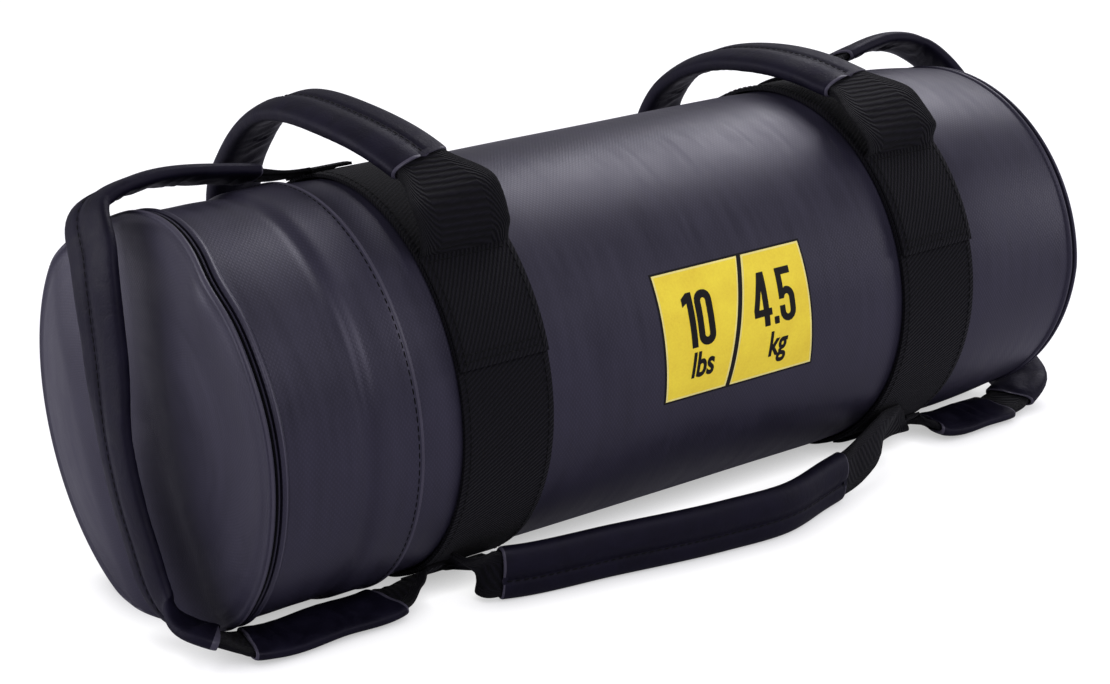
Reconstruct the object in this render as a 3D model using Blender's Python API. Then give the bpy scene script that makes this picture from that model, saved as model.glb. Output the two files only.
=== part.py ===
"""Weighted training bag: a filled vinyl cylinder with webbing bands and padded loop handles.

The bag lies along X with +Z up. The origin is on the floor, under the bag's axis and midway
between the two bands. The front, where the long handle lies, faces -Y. An angle round the bag
starts at the front (-Y), is 90 degrees at the top and -90 degrees at the floor.
"""
import math

import bmesh
import bpy
from mathutils import Vector

# Bag
BAG_RADIUS = 0.0975
CONTACT_ANGLE = 15.0          # half of the arc that the filled bag's weight presses flat
LEFT_SECTION = 0.0965         # from the left band's outer edge to the left rim
RIGHT_SECTION = 0.0835        # the plain end is a little shorter than the sewn-up one
SEGMENTS = 48
VINYL = 0.0016
CLEARANCE = 0.0003            # between pieces that touch
TOP_ANGLE = 112.5             # line of the grips' crowns and the end straps' upper feet
BOTTOM_ANGLE = -57.0          # line of the end straps' lower feet

# Bands
BAND_SPACING = 0.277
BAND_WIDTH = 0.050
WEBBING = 0.0020

# Sewn lap of the left end
LAP_OFFSET = 0.021            # from the left band to the free edge of the closing panel
LAP_WIDTH = 0.025

# Ends
LIP_HEIGHT = 0.0013
LIP_WIDTH = 0.0026
BINDING_WIDTH = 0.0020
BINDING_DEPTH = 0.0006        # the binding lies this far below the bag's surface
FLANGE_LENGTH = 0.014
DOME_HEIGHT = 0.009
LEFT_BULGE = 0.016            # how much further out the back half of the left end stands
RIGHT_DROOP = 0.018           # how far the top of the right end sinks
RIGHT_LIFT = 0.005            # how far the underside of the right end stands off the floor

# Filling
WADDING_WALL = 0.048
POUCH_CLEARANCE = 0.0005
PAD_THICKNESS = 0.018

# Top grips
GRIP_SLEEVE_WIDTH = 0.033
GRIP_SLEEVE_THICKNESS = 0.011
GRIP_SLEEVE_LENGTH = 0.204
GRIP_LEG_LENGTH = 0.056
GRIP_TIP = 12.0               # both grips lie tipped towards the left end
GRIP_TIP_RATE = 8.0           # the wider its webbing is, the higher up a grip is fully tipped
GRIP_FOOT_HALF_ANGLE = 62.5   # from the crown's line to the upper edge of either foot
GRIP_FOOT_LENGTH = 0.054

# Long handle
LONG_SLEEVE_WIDTH = 0.027
LONG_SLEEVE_THICKNESS = 0.011
LONG_SLEEVE_INSET = 0.055     # how much shorter the sleeve is than the way from band to band
LONG_SLEEVE_LENGTH = BAND_SPACING - LONG_SLEEVE_INSET
LONG_LEG_LENGTH = 0.036
LONG_FOOT_LENGTH = 0.019
LONG_FOOT_ANGLE = -56.0       # where its webbing leaves either band
LONG_STRAP_WIDTH = 0.028

# End straps
END_SLEEVE_WIDTH = 0.029
END_SLEEVE_THICKNESS = 0.0075
END_STRAP_WIDTH = 0.027
END_FOOT_LENGTH = 0.010
END_TOP_FOOT_LENGTH = 0.022
END_STAND_OFF = {"left": 0.0245, "right": 0.0215}    # from the rim to the strap's middle line
END_SHOULDER = {"left": 0.0125, "right": 0.0190}     # how far in its top bend starts
END_UNDER_LENGTH = {"left": 0.076, "right": 0.052}
END_RISE = 0.0140             # from the bag to the strap's middle line, over the top

# Sleeves
SLEEVE_WALL = 0.0013
SLEEVE_MOUTH = 0.003          # the foam stops this far inside a sleeve's end
CORE_WIDTH = 0.018            # the webbing is folded to this width inside a sleeve
FLOOR_GAP = 0.0007

AXIS_HEIGHT = BAG_RADIUS * math.cos(math.radians(CONTACT_ANGLE))
BAND_EDGE = BAND_SPACING / 2 + BAND_WIDTH / 2
LEFT_RIM = BAND_EDGE + LEFT_SECTION
RIGHT_RIM = BAND_EDGE + RIGHT_SECTION
BAND_INNER = BAG_RADIUS + CLEARANCE
BAND_OUTER = BAND_INNER + WEBBING
DROOP_START = BAND_EDGE + RIGHT_SECTION * 0.24
DROOP_BEND = BAND_EDGE + RIGHT_SECTION * 0.62
DROOP_SHARE = 0.3
FOOT_HEIGHT = BAND_OUTER - BAG_RADIUS + CLEARANCE + WEBBING / 2

COLOURS = {
    "vinyl": ((0.052, 0.047, 0.072, 1.0), 0.45),
    "sleeve_vinyl": ((0.022, 0.019, 0.034, 1.0), 0.38),
    "webbing": ((0.006, 0.006, 0.010, 1.0), 0.85),
    "binding": ((0.008, 0.008, 0.012, 1.0), 0.7),
    "foam": ((0.30, 0.30, 0.32, 1.0), 0.9),
    "wadding": ((0.62, 0.60, 0.56, 1.0), 0.95),
    "pouch": ((0.16, 0.17, 0.19, 1.0), 0.7),
}


def clear_scene():
    """Removes every object, so that the script can run again in the same file."""
    for obj in list(bpy.data.objects):
        bpy.data.objects.remove(obj, do_unlink=True)


def add_object(name, bm, finish, origin=Vector((0.0, 0.0, 0.0))):
    """Makes a named object of a finished mesh, with its own material and its origin at a point."""
    bmesh.ops.recalc_face_normals(bm, faces=bm.faces)
    bmesh.ops.translate(bm, verts=bm.verts, vec=-origin)
    mesh = bpy.data.meshes.new(name)
    bm.to_mesh(mesh)
    bm.free()
    mesh.shade_smooth()
    mesh.set_sharp_from_angle(angle=math.radians(40))
    colour, roughness = COLOURS[finish]
    material = bpy.data.materials.new(name + "_" + finish)
    material.use_nodes = True
    shader = material.node_tree.nodes["Principled BSDF"]
    shader.inputs["Base Color"].default_value = colour
    shader.inputs["Roughness"].default_value = roughness
    shader.inputs["Metallic"].default_value = 0.0
    mesh.materials.append(material)
    obj = bpy.data.objects.new(name, mesh)
    obj.location = origin
    bpy.context.collection.objects.link(obj)
    return obj


# Round pieces of the bag

def belly_floor(radius):
    """Height of the flat that a ring of this radius gets, where it follows the bag's own flat."""
    return max(0.0, AXIS_HEIGHT * (1 - radius / BAG_RADIUS))


def ease(value, start, end):
    """Rises smoothly from 0 at start to 1 at end."""
    t = min(max((value - start) / (end - start), 0.0), 1.0)
    return t * t * (3 - 2 * t)


def left_slump(x, y, height):
    """How far the soft left end is pushed out, behind the line of its strap."""
    lean = math.radians(TOP_ANGLE - 90)
    behind = y * math.cos(lean) - height * math.sin(lean)
    start = LEFT_RIM - LIP_WIDTH - VINYL - 2 * CLEARANCE - PAD_THICKNESS
    reach = min(max((-x - start) / (PAD_THICKNESS * 0.6), 0.0), 1.0)
    return LEFT_BULGE * reach * ease(behind, -0.005, 0.050)


def right_slump(x, angle):
    """The part of its radius that the soft right end loses, mostly at the top."""
    gentle = max(x - DROOP_START, 0.0) / (DROOP_BEND - DROOP_START) * DROOP_SHARE
    steep = DROOP_SHARE + (x - DROOP_BEND) / (RIGHT_RIM - DROOP_BEND) * (1 - DROOP_SHARE)
    loss = RIGHT_DROOP * max(math.sin(angle), 0.0) ** 1.3 + RIGHT_LIFT * max(-math.sin(angle), 0.0)
    return (steep if x > DROOP_BEND else gentle) * loss / BAG_RADIUS


def ring_points(x, radius, floor=None):
    """Points round the bag at one station, pressed flat at the floor, with its soft ends slumped."""
    low = belly_floor(radius) if floor is None else floor
    points = []
    for k in range(SEGMENTS):
        angle = 2 * math.pi * k / SEGMENTS
        part = radius * (1 - right_slump(x, angle))
        y = -part * math.cos(angle)
        height = part * math.sin(angle)
        points.append(Vector((x - left_slump(x, y, height), y, max(AXIS_HEIGHT + height, low))))
    return points


def lathe(name, profile, finish, closed=True):
    """Turns a profile of (x, radius) or (x, radius, floor) round the bag's axis.

    A closed profile makes a tube. An open one makes a disc, with a flat face over each end ring.
    """
    bm = bmesh.new()
    rings = []
    for station in profile:
        rings.append([bm.verts.new(point) for point in ring_points(*station)])
    pairs = list(zip(rings, rings[1:]))
    if closed:
        pairs.append((rings[-1], rings[0]))
    for first, second in pairs:
        for k in range(SEGMENTS):
            after = (k + 1) % SEGMENTS
            bm.faces.new((first[k], first[after], second[after], second[k]))
    if not closed:
        bm.faces.new(rings[0])
        bm.faces.new(rings[-1])
    return add_object(name, bm, finish)


def lip(edge, side, width, height):
    """A rolled edge that stands out of the bag's surface, from its inner side to its outer side."""
    return [
        (side * (edge - width * 2.2), BAG_RADIUS),
        (side * (edge - width * 0.6), BAG_RADIUS + height),
        (side * edge, BAG_RADIUS + height * 0.6),
    ]


def panel_edge(rim):
    """Where the body panel ends, short of the binding and the cap's own lip."""
    return rim - LIP_WIDTH - BINDING_WIDTH - 2 * CLEARANCE


def pressed(x_edge, outward, depth):
    """The panel's surface beside and under something that the bag's weight presses into it."""
    return [
        (x_edge - outward * 0.0025, BAG_RADIUS, 0.0),
        (x_edge - outward * CLEARANCE * 2, BAG_RADIUS, depth),
    ]


def make_panels():
    """The vinyl tube, in two lengths that are lapped and sewn near the left end."""
    inner = BAG_RADIUS - VINYL
    under_band = WEBBING + CLEARANCE
    under_lap = VINYL + CLEARANCE
    lap_edge = -(BAND_EDGE + LAP_OFFSET)
    lap_end = lap_edge - LAP_WIDTH
    band_in = BAND_SPACING / 2 - BAND_WIDTH / 2
    right_end = panel_edge(RIGHT_RIM)
    profile = [(lap_end, BAG_RADIUS, under_lap), (lap_edge + CLEARANCE, BAG_RADIUS, under_lap)]
    profile += [(lap_edge + 0.003, BAG_RADIUS, 0.0)]
    profile += pressed(-BAND_EDGE, 1, under_band)
    profile += [(x, r, f) for x, r, f in reversed(pressed(-band_in, -1, under_band))]
    profile += pressed(band_in, 1, under_band)
    profile += [(x, r, f) for x, r, f in reversed(pressed(BAND_EDGE, -1, under_band))]
    profile += [(DROOP_START, BAG_RADIUS, 0.0), (DROOP_BEND, BAG_RADIUS, 0.0)]
    profile += [(x, r, 0.0) for x, r in lip(right_end, 1, LIP_WIDTH, LIP_HEIGHT)]
    profile += [(right_end, inner, VINYL), (DROOP_BEND, inner, VINYL)]
    profile += [(DROOP_START, inner, VINYL), (BAND_EDGE + 0.003, inner, VINYL)]
    profile += [(BAND_EDGE, inner, under_band + VINYL), (lap_end, inner, under_band + VINYL)]
    lathe("main_panel", profile, "vinyl")

    left_end = panel_edge(LEFT_RIM)
    over = BAG_RADIUS + CLEARANCE
    step = 0.004
    profile = [(lap_edge, over, VINYL), (lap_edge, over + VINYL, 0.0)]
    profile += [(lap_end - CLEARANCE, over + VINYL, 0.0), (lap_end - step, BAG_RADIUS, 0.0)]
    profile += [(x, r, 0.0) for x, r in lip(left_end, -1, LIP_WIDTH, LIP_HEIGHT)]
    profile += [(-left_end, inner, VINYL), (lap_end - step, inner, VINYL)]
    profile += [(lap_end - CLEARANCE * 2, over, VINYL)]
    lathe("closing_panel", profile, "vinyl")


def make_end(side_name, side, rim):
    """A domed cap whose flange sits inside the tube, its rim binding and the pad behind it."""
    flange_outer = BAG_RADIUS - VINYL - 2 * CLEARANCE
    flange_inner = flange_outer - VINYL
    flange_start = panel_edge(rim) - FLANGE_LENGTH
    low = belly_floor(flange_outer) + 2 * CLEARANCE
    lip_start = rim - LIP_WIDTH
    dome_outer = BAG_RADIUS - 0.006
    steps = 4
    dome = []
    for k in range(steps + 1):
        share = k / steps
        radius = dome_outer * math.cos(share * math.radians(82))
        rise = DOME_HEIGHT * math.sin(share * math.radians(82)) ** 0.8
        dome.append((rise, radius))
    profile = [(side * (rim + rise), radius) for rise, radius in reversed(dome)]
    profile += [
        (side * rim, BAG_RADIUS - LIP_HEIGHT),
        (side * (rim - LIP_WIDTH * 0.3), BAG_RADIUS + LIP_HEIGHT),
        (side * lip_start, BAG_RADIUS + LIP_HEIGHT * 0.6),
        (side * lip_start, flange_outer),
        (side * flange_start, flange_outer, low),
        (side * flange_start, flange_inner, low + VINYL),
        (side * (lip_start - VINYL), flange_inner, low + VINYL),
    ]
    profile += [(side * (rim + rise - VINYL), radius - 0.0006) for rise, radius in dome]
    lathe("end_cap_" + side_name, profile, "vinyl", closed=False)

    binding_start = panel_edge(rim) + CLEARANCE
    binding_end = binding_start + BINDING_WIDTH
    binding_outer = BAG_RADIUS - BINDING_DEPTH
    binding_inner = flange_outer + CLEARANCE
    lathe("rim_binding_" + side_name, [
        (side * binding_start, binding_inner),
        (side * binding_start, binding_outer),
        (side * binding_end, binding_outer),
        (side * binding_end, binding_inner),
    ], "binding")

    pad_radius = flange_inner - 2 * CLEARANCE
    pad_front = lip_start - VINYL - CLEARANCE
    pad_low = low + VINYL + 2 * CLEARANCE
    profile = [(side * (rim + rise - VINYL - 4 * CLEARANCE), radius - 0.0010)
               for rise, radius in reversed(dome)]
    profile += [
        (side * pad_front, pad_radius, pad_low),
        (side * (pad_front - PAD_THICKNESS), pad_radius, pad_low),
    ]
    lathe("cap_pad_" + side_name, profile, "foam", closed=False)
    return pad_front - PAD_THICKNESS


def make_filling(left_pad, right_pad):
    """The wadding tube that gives the bag its shape, round the heavy pouch."""
    outer = BAG_RADIUS - VINYL - 2 * CLEARANCE
    bore = outer - WADDING_WALL
    low = WEBBING + VINYL + 3 * CLEARANCE
    left = -(left_pad - CLEARANCE)
    right = right_pad - CLEARANCE
    stations = [left, DROOP_START, DROOP_BEND, right]
    profile = [(x, bore) for x in reversed(stations)] + [(x, outer, low) for x in stations]
    lathe("wadding", profile, "wadding")
    pouch = bore - POUCH_CLEARANCE
    lathe("ballast_pouch", [
        (-DROOP_START, pouch * 0.6),
        (-DROOP_START + 0.020, pouch),
        (DROOP_START - 0.020, pouch),
        (DROOP_START, pouch * 0.6),
    ], "pouch", closed=False)


def make_band(side_name, side):
    """A webbing band sewn round the bag. Its lower run is pressed up into the bag by the floor."""
    near = side * (BAND_SPACING - BAND_WIDTH) / 2
    far = side * BAND_EDGE
    lathe("band_" + side_name, [
        (near, BAND_INNER, WEBBING),
        (near, BAND_OUTER, 0.0),
        (far, BAND_OUTER, 0.0),
        (far, BAND_INNER, WEBBING),
    ], "webbing")


# Straps and sleeves

def surface(x, angle, height):
    """A point at a height above the bag's round surface."""
    turn = math.radians(angle)
    reach = BAG_RADIUS + height
    return Vector((x, -reach * math.cos(turn), AXIS_HEIGHT + reach * math.sin(turn)))


def tangent(angle):
    """The direction round the bag, in which the angle grows."""
    turn = math.radians(angle)
    return Vector((0.0, math.sin(turn), math.cos(turn)))


def radial(angle):
    """The direction straight out of the bag."""
    turn = math.radians(angle)
    return Vector((0.0, -math.cos(turn), math.sin(turn)))


class Route:
    """A smooth middle line through chosen points, each with the strap's width direction there."""

    SAMPLES = 16

    def __init__(self, knots, lead_in, lead_out):
        places = [place for place, width in knots]
        gaps = [(second - first).length for first, second in zip(places, places[1:])]
        headings = [lead_in]
        for k in range(1, len(places) - 1):
            before = (places[k] - places[k - 1]) / gaps[k - 1]
            after = (places[k + 1] - places[k]) / gaps[k]
            headings.append((before * gaps[k] + after * gaps[k - 1]) / (gaps[k - 1] + gaps[k]))
        headings.append(lead_out)
        self.points = []
        self.widths = []
        for k, gap in enumerate(gaps):
            for step in range(self.SAMPLES):
                t = step / self.SAMPLES
                self.points.append(
                    places[k] * (1 + 2 * t) * (1 - t) ** 2 + headings[k] * gap * t * (1 - t) ** 2
                    + places[k + 1] * t * t * (3 - 2 * t) - headings[k + 1] * gap * t * t * (1 - t))
                self.widths.append(knots[k][1].lerp(knots[k + 1][1], t * t * (3 - 2 * t)))
        self.points.append(places[-1])
        self.widths.append(knots[-1][1])
        self.headings = [lead_in]
        for first, second in zip(self.points, self.points[2:]):
            self.headings.append((second - first).normalized())
        self.headings.append(lead_out)
        self.reach = [0.0]
        for first, second in zip(self.points, self.points[1:]):
            self.reach.append(self.reach[-1] + (second - first).length)
        self.length = self.reach[-1]

    def at(self, distance):
        """The point, the direction and the width direction so far along the route."""
        distance = min(max(distance, 0.0), self.length)
        k = 1
        while k < len(self.reach) - 1 and self.reach[k] < distance:
            k += 1
        share = (distance - self.reach[k - 1]) / (self.reach[k] - self.reach[k - 1])
        point = self.points[k - 1].lerp(self.points[k], share)
        along = self.headings[k - 1].lerp(self.headings[k], share).normalized()
        width = self.widths[k - 1].lerp(self.widths[k], share)
        width = (width - along * width.dot(along)).normalized()
        return point, along, width


def rounded_section(width, thickness, end_points):
    """A flat section with round edges, as (across, out) pairs: each edge has so many points."""
    radius = thickness / 2
    centre = width / 2 - radius
    section = []
    for side in (1, -1):
        for k in range(end_points):
            turn = side * math.pi / 2 * (1 - 2 * k / (end_points - 1))
            section.append((side * (centre + radius * math.cos(turn)), radius * math.sin(turn)))
    return section


def flat_section(width, thickness):
    """A plain webbing section."""
    across = width / 2
    out = thickness / 2
    return [(across, out), (across, -out), (-across, -out), (-across, out)]


def place_section(bm, route, distance, section):
    """Adds the points of a section at one station of a route."""
    point, along, width = route.at(distance)
    out = along.cross(width)
    return [bm.verts.new(point + width * across + out * rise) for across, rise in section]


def join_loops(bm, first, second):
    """Bridges two loops of as many points with quads."""
    count = len(first)
    for k in range(count):
        after = (k + 1) % count
        bm.faces.new((first[k], first[after], second[after], second[k]))


def sweep(name, route, stations, section_at, finish, origin, bore=None):
    """Sweeps a section along a route. With a bore section the piece is a tube, open at its ends."""
    bm = bmesh.new()
    outer = [place_section(bm, route, s, section_at(s)) for s in stations]
    for first, second in zip(outer, outer[1:]):
        join_loops(bm, first, second)
    if bore is None:
        bm.faces.new(outer[0])
        bm.faces.new(outer[-1])
    else:
        inner = [place_section(bm, route, s, bore) for s in stations]
        for first, second in zip(inner, inner[1:]):
            join_loops(bm, first, second)
        join_loops(bm, outer[0], inner[0])
        join_loops(bm, outer[-1], inner[-1])
    return add_object(name, bm, finish, origin)


def spread(start, end, count):
    """Evenly spaced distances from start to end, both included."""
    return [start + (end - start) * k / count for k in range(count + 1)]


def sleeve_stations(start, length, count):
    """Stations of a sleeve: its two ends, the foam's ends just inside them, and those between."""
    end = start + length
    return [start] + spread(start + SLEEVE_MOUTH, end - SLEEVE_MOUTH, count) + [end]


def make_sleeve(prefix, label, route, stations, width, thickness, origin):
    """A vinyl sleeve with the foam inside it, round the folded webbing."""
    inner_width = width - 2 * SLEEVE_WALL
    inner_thickness = thickness - 2 * SLEEVE_WALL
    foam_width = inner_width - 2 * CLEARANCE - inner_thickness * (1 - math.cos(math.radians(30)))
    foam_thickness = inner_thickness - 3 * CLEARANCE
    slot_thickness = WEBBING + 3 * CLEARANCE
    slot_width = CORE_WIDTH + 2 * CLEARANCE + slot_thickness
    outer_section = rounded_section(width, thickness, 4)
    foam_section = rounded_section(foam_width, foam_thickness, 3)
    sweep(prefix + label + "sleeve", route, stations, lambda s: outer_section, "sleeve_vinyl", origin,
          rounded_section(inner_width, inner_thickness, 4))
    sweep(prefix + label + "foam", route, stations[1:-1], lambda s: foam_section, "foam", origin,
          rounded_section(slot_width, slot_thickness, 3))


def make_strap(name, route, stations, foot_width, covered, origin):
    """The webbing of a handle, full width at its feet and folded narrow where a sleeve covers it."""
    taper = 0.024

    def section_at(distance):
        gap = min(max(start - distance, distance - end) for start, end in covered) - SLEEVE_MOUTH
        share = min(max(gap / taper, 0.0), 1.0)
        share = share * share * (3 - 2 * share)
        return flat_section(CORE_WIDTH + (foot_width - CORE_WIDTH) * share, WEBBING)

    return sweep(name, route, stations, section_at, "webbing", origin)


# Feet: the ends of each handle's webbing, sewn flat on a band

def foot_round(name, x, width, low_angle, high_angle):
    """A foot that runs round the bag, between two angles."""
    bm = bmesh.new()
    steps = max(2, round(abs(high_angle - low_angle) / 7.5))
    loops = []
    for k in range(steps + 1):
        angle = low_angle + (high_angle - low_angle) * k / steps
        loops.append([bm.verts.new(surface(x + across, angle, FOOT_HEIGHT + out))
                      for across, out in flat_section(width, WEBBING)])
    for first, second in zip(loops, loops[1:]):
        join_loops(bm, first, second)
    bm.faces.new(loops[0])
    bm.faces.new(loops[-1])
    return add_object(name, bm, "webbing")


def foot_along(name, x_near, x_far, width, angle):
    """A foot that runs along the bag, curved round it across its width."""
    half_turn = math.degrees(width / 2 / BAG_RADIUS)
    bm = bmesh.new()
    loops = []
    for x in (x_near, x_far):
        loop = []
        for out, turns in ((WEBBING / 2, (-1, -0.5, 0, 0.5, 1)), (-WEBBING / 2, (1, 0.5, 0, -0.5, -1))):
            for turn in turns:
                loop.append(bm.verts.new(surface(x, angle + half_turn * turn, FOOT_HEIGHT + out)))
        loops.append(loop)
    join_loops(bm, loops[0], loops[1])
    bm.faces.new(loops[0])
    bm.faces.new(loops[1])
    return add_object(name, bm, "webbing")


# Handles

# Middle line of each top grip: distance along the chord between its feet, from the chord's
# middle towards the back, and height above the chord, both as parts of the half chord.
GRIP_KNOTS = {
    "left": ((-1.070, 0.085), (-1.120, 0.260), (-0.935, 0.465), (-0.462, 0.770), (0.088, 0.960),
             (0.714, 0.880), (1.130, 0.690), (1.270, 0.420), (1.150, 0.130)),
    "right": ((-1.055, 0.080), (-1.020, 0.250), (-0.703, 0.500), (-0.187, 0.725), (0.374, 0.800),
              (0.830, 0.740), (1.190, 0.550), (1.360, 0.290), (1.260, 0.090), (1.085, 0.100)),
}
GRIP_LIFT = {"left": (40.0, 45.0), "right": (30.0, 45.0)}    # off the band, at the front and rear foot


def make_grip(side_name, side):
    """A top grip: a padded loop that stands over a band, from its front foot to its rear foot."""
    x = side * BAND_SPACING / 2
    prefix = "grip_" + side_name + "_"
    front_angle = TOP_ANGLE - GRIP_FOOT_HALF_ANGLE
    rear_angle = TOP_ANGLE + GRIP_FOOT_HALF_ANGLE
    foot_turn = math.degrees(GRIP_FOOT_LENGTH / BAG_RADIUS)
    foot_round(prefix + "foot_front", x, BAND_WIDTH, front_angle - foot_turn, front_angle)
    foot_round(prefix + "foot_rear", x, BAND_WIDTH, rear_angle, rear_angle + foot_turn)

    lift = [math.radians(angle) for angle in GRIP_LIFT[side_name]]
    gaps = [math.degrees((CLEARANCE + WEBBING / 2 * math.sin(turn)) / BAG_RADIUS) for turn in lift]
    front = surface(x, front_angle + gaps[0], FOOT_HEIGHT)
    rear = surface(x, rear_angle - gaps[1], FOOT_HEIGHT)
    lead_in = tangent(front_angle) * math.cos(lift[0]) + radial(front_angle) * math.sin(lift[0])
    lead_out = tangent(rear_angle) * math.cos(lift[1]) - radial(rear_angle) * math.sin(lift[1])
    middle = (front + rear) / 2
    chord = (rear - front).normalized()
    half = (rear - front).length / 2
    tip = math.radians(GRIP_TIP)
    level = Vector((1.0, 0.0, 0.0))
    up = radial(TOP_ANGLE) * math.cos(tip) - level * math.sin(tip)
    tipped = level * math.cos(tip) + radial(TOP_ANGLE) * math.sin(tip)
    knots = [(front, level)]
    for along, rise in GRIP_KNOTS[side_name]:
        share = min(rise / (GRIP_TIP_RATE * BAND_WIDTH), 1.0)
        knots.append((middle + chord * along * half + up * rise * half, level.lerp(tipped, share)))
    knots.append((rear, level))
    route = Route(knots, lead_in, lead_out)
    sleeve_end = GRIP_LEG_LENGTH + GRIP_SLEEVE_LENGTH
    covered = sleeve_stations(GRIP_LEG_LENGTH, GRIP_SLEEVE_LENGTH, 12)
    stations = spread(0.0, GRIP_LEG_LENGTH, 8)[:-1] + covered + spread(sleeve_end, route.length, 10)[1:]
    make_strap(prefix + "strap", route, stations, BAND_WIDTH, [(GRIP_LEG_LENGTH, sleeve_end)], middle)
    make_sleeve(prefix, "", route, covered, GRIP_SLEEVE_WIDTH, GRIP_SLEEVE_THICKNESS, middle)


def make_long_handle():
    """The long handle between the bands, lying on its edge on the floor in front of the bag."""
    foot_turn = math.degrees(LONG_FOOT_LENGTH / BAG_RADIUS)
    band = BAND_SPACING / 2
    for side_name, side in (("left", -1), ("right", 1)):
        foot_round("long_handle_foot_" + side_name, side * band, LONG_STRAP_WIDTH,
                   LONG_FOOT_ANGLE - foot_turn, LONG_FOOT_ANGLE)

    gap = math.degrees((CLEARANCE + WEBBING * 0.2) / BAG_RADIUS)
    start = surface(-band, LONG_FOOT_ANGLE + gap, FOOT_HEIGHT)
    end = surface(band, LONG_FOOT_ANGLE + gap, FOOT_HEIGHT)
    middle = (start + end) / 2
    rest = LONG_SLEEVE_WIDTH / 2 + FLOOR_GAP
    out = radial(LONG_FOOT_ANGLE)
    leave = tangent(LONG_FOOT_ANGLE)
    lead = leave * 0.94 + out * 0.34
    across = Vector((1.0, 0.0, 0.0))
    upright = Vector((0.0, 0.0, 1.0))
    clear = -(BAG_RADIUS * 0.735 + LONG_SLEEVE_THICKNESS / 2)
    reach = -BAG_RADIUS * 1.045

    def turned(side, share):
        """The width direction in a turn: flat on the band at 0, upright at 1."""
        return (across * side * (1 - share) + upright * share).normalized()

    knots = [
        (start, -across),
        (start + leave * 0.0070 + out * 0.0022, turned(-1, 0.05)),
        (start + leave * 0.0140 + out * 0.0062 - across * 0.0010, turned(-1, 0.2)),
        (Vector((-band - 0.0026, clear - 0.0004, rest + 0.0024)), turned(-1, 0.5)),
        (Vector((-band - 0.0002, clear - 0.0044, rest + 0.0008)), turned(-1, 0.85)),
        (Vector((-band + 0.0080, clear - 0.0075, rest)), upright),
        (Vector((-0.55 * band, reach * 0.93, rest)), upright),
        (Vector((-0.10 * band, reach, rest)), upright),
        (Vector((0.18 * band, reach * 0.985, rest)), upright),
        (Vector((0.48 * band, clear - 0.0080, rest)), upright),
        (Vector((0.72 * band, clear - 0.0002, rest)), upright),
        (Vector((0.90 * band, clear - 0.0008, rest + 0.0003)), upright),
        (Vector((band - 0.0036, clear - 0.0014, rest + 0.0008)), turned(1, 0.85)),
        (Vector((band + 0.0022, clear - 0.0004, rest + 0.0024)), turned(1, 0.5)),
        (end + leave * 0.0140 + out * 0.0062 + across * 0.0010, turned(1, 0.2)),
        (end + leave * 0.0070 + out * 0.0022, turned(1, 0.05)),
        (end, across),
    ]
    route = Route(knots, lead, -lead)
    sleeve_end = LONG_LEG_LENGTH + LONG_SLEEVE_LENGTH
    covered = sleeve_stations(LONG_LEG_LENGTH, LONG_SLEEVE_LENGTH, 12)
    stations = spread(0.0, LONG_LEG_LENGTH, 9)[:-1] + covered + spread(sleeve_end, route.length, 16)[1:]
    make_strap("long_handle_strap", route, stations, LONG_STRAP_WIDTH,
               [(LONG_LEG_LENGTH, sleeve_end)], middle)
    make_sleeve("long_handle_", "", route, covered, LONG_SLEEVE_WIDTH, LONG_SLEEVE_THICKNESS, middle)


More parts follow.
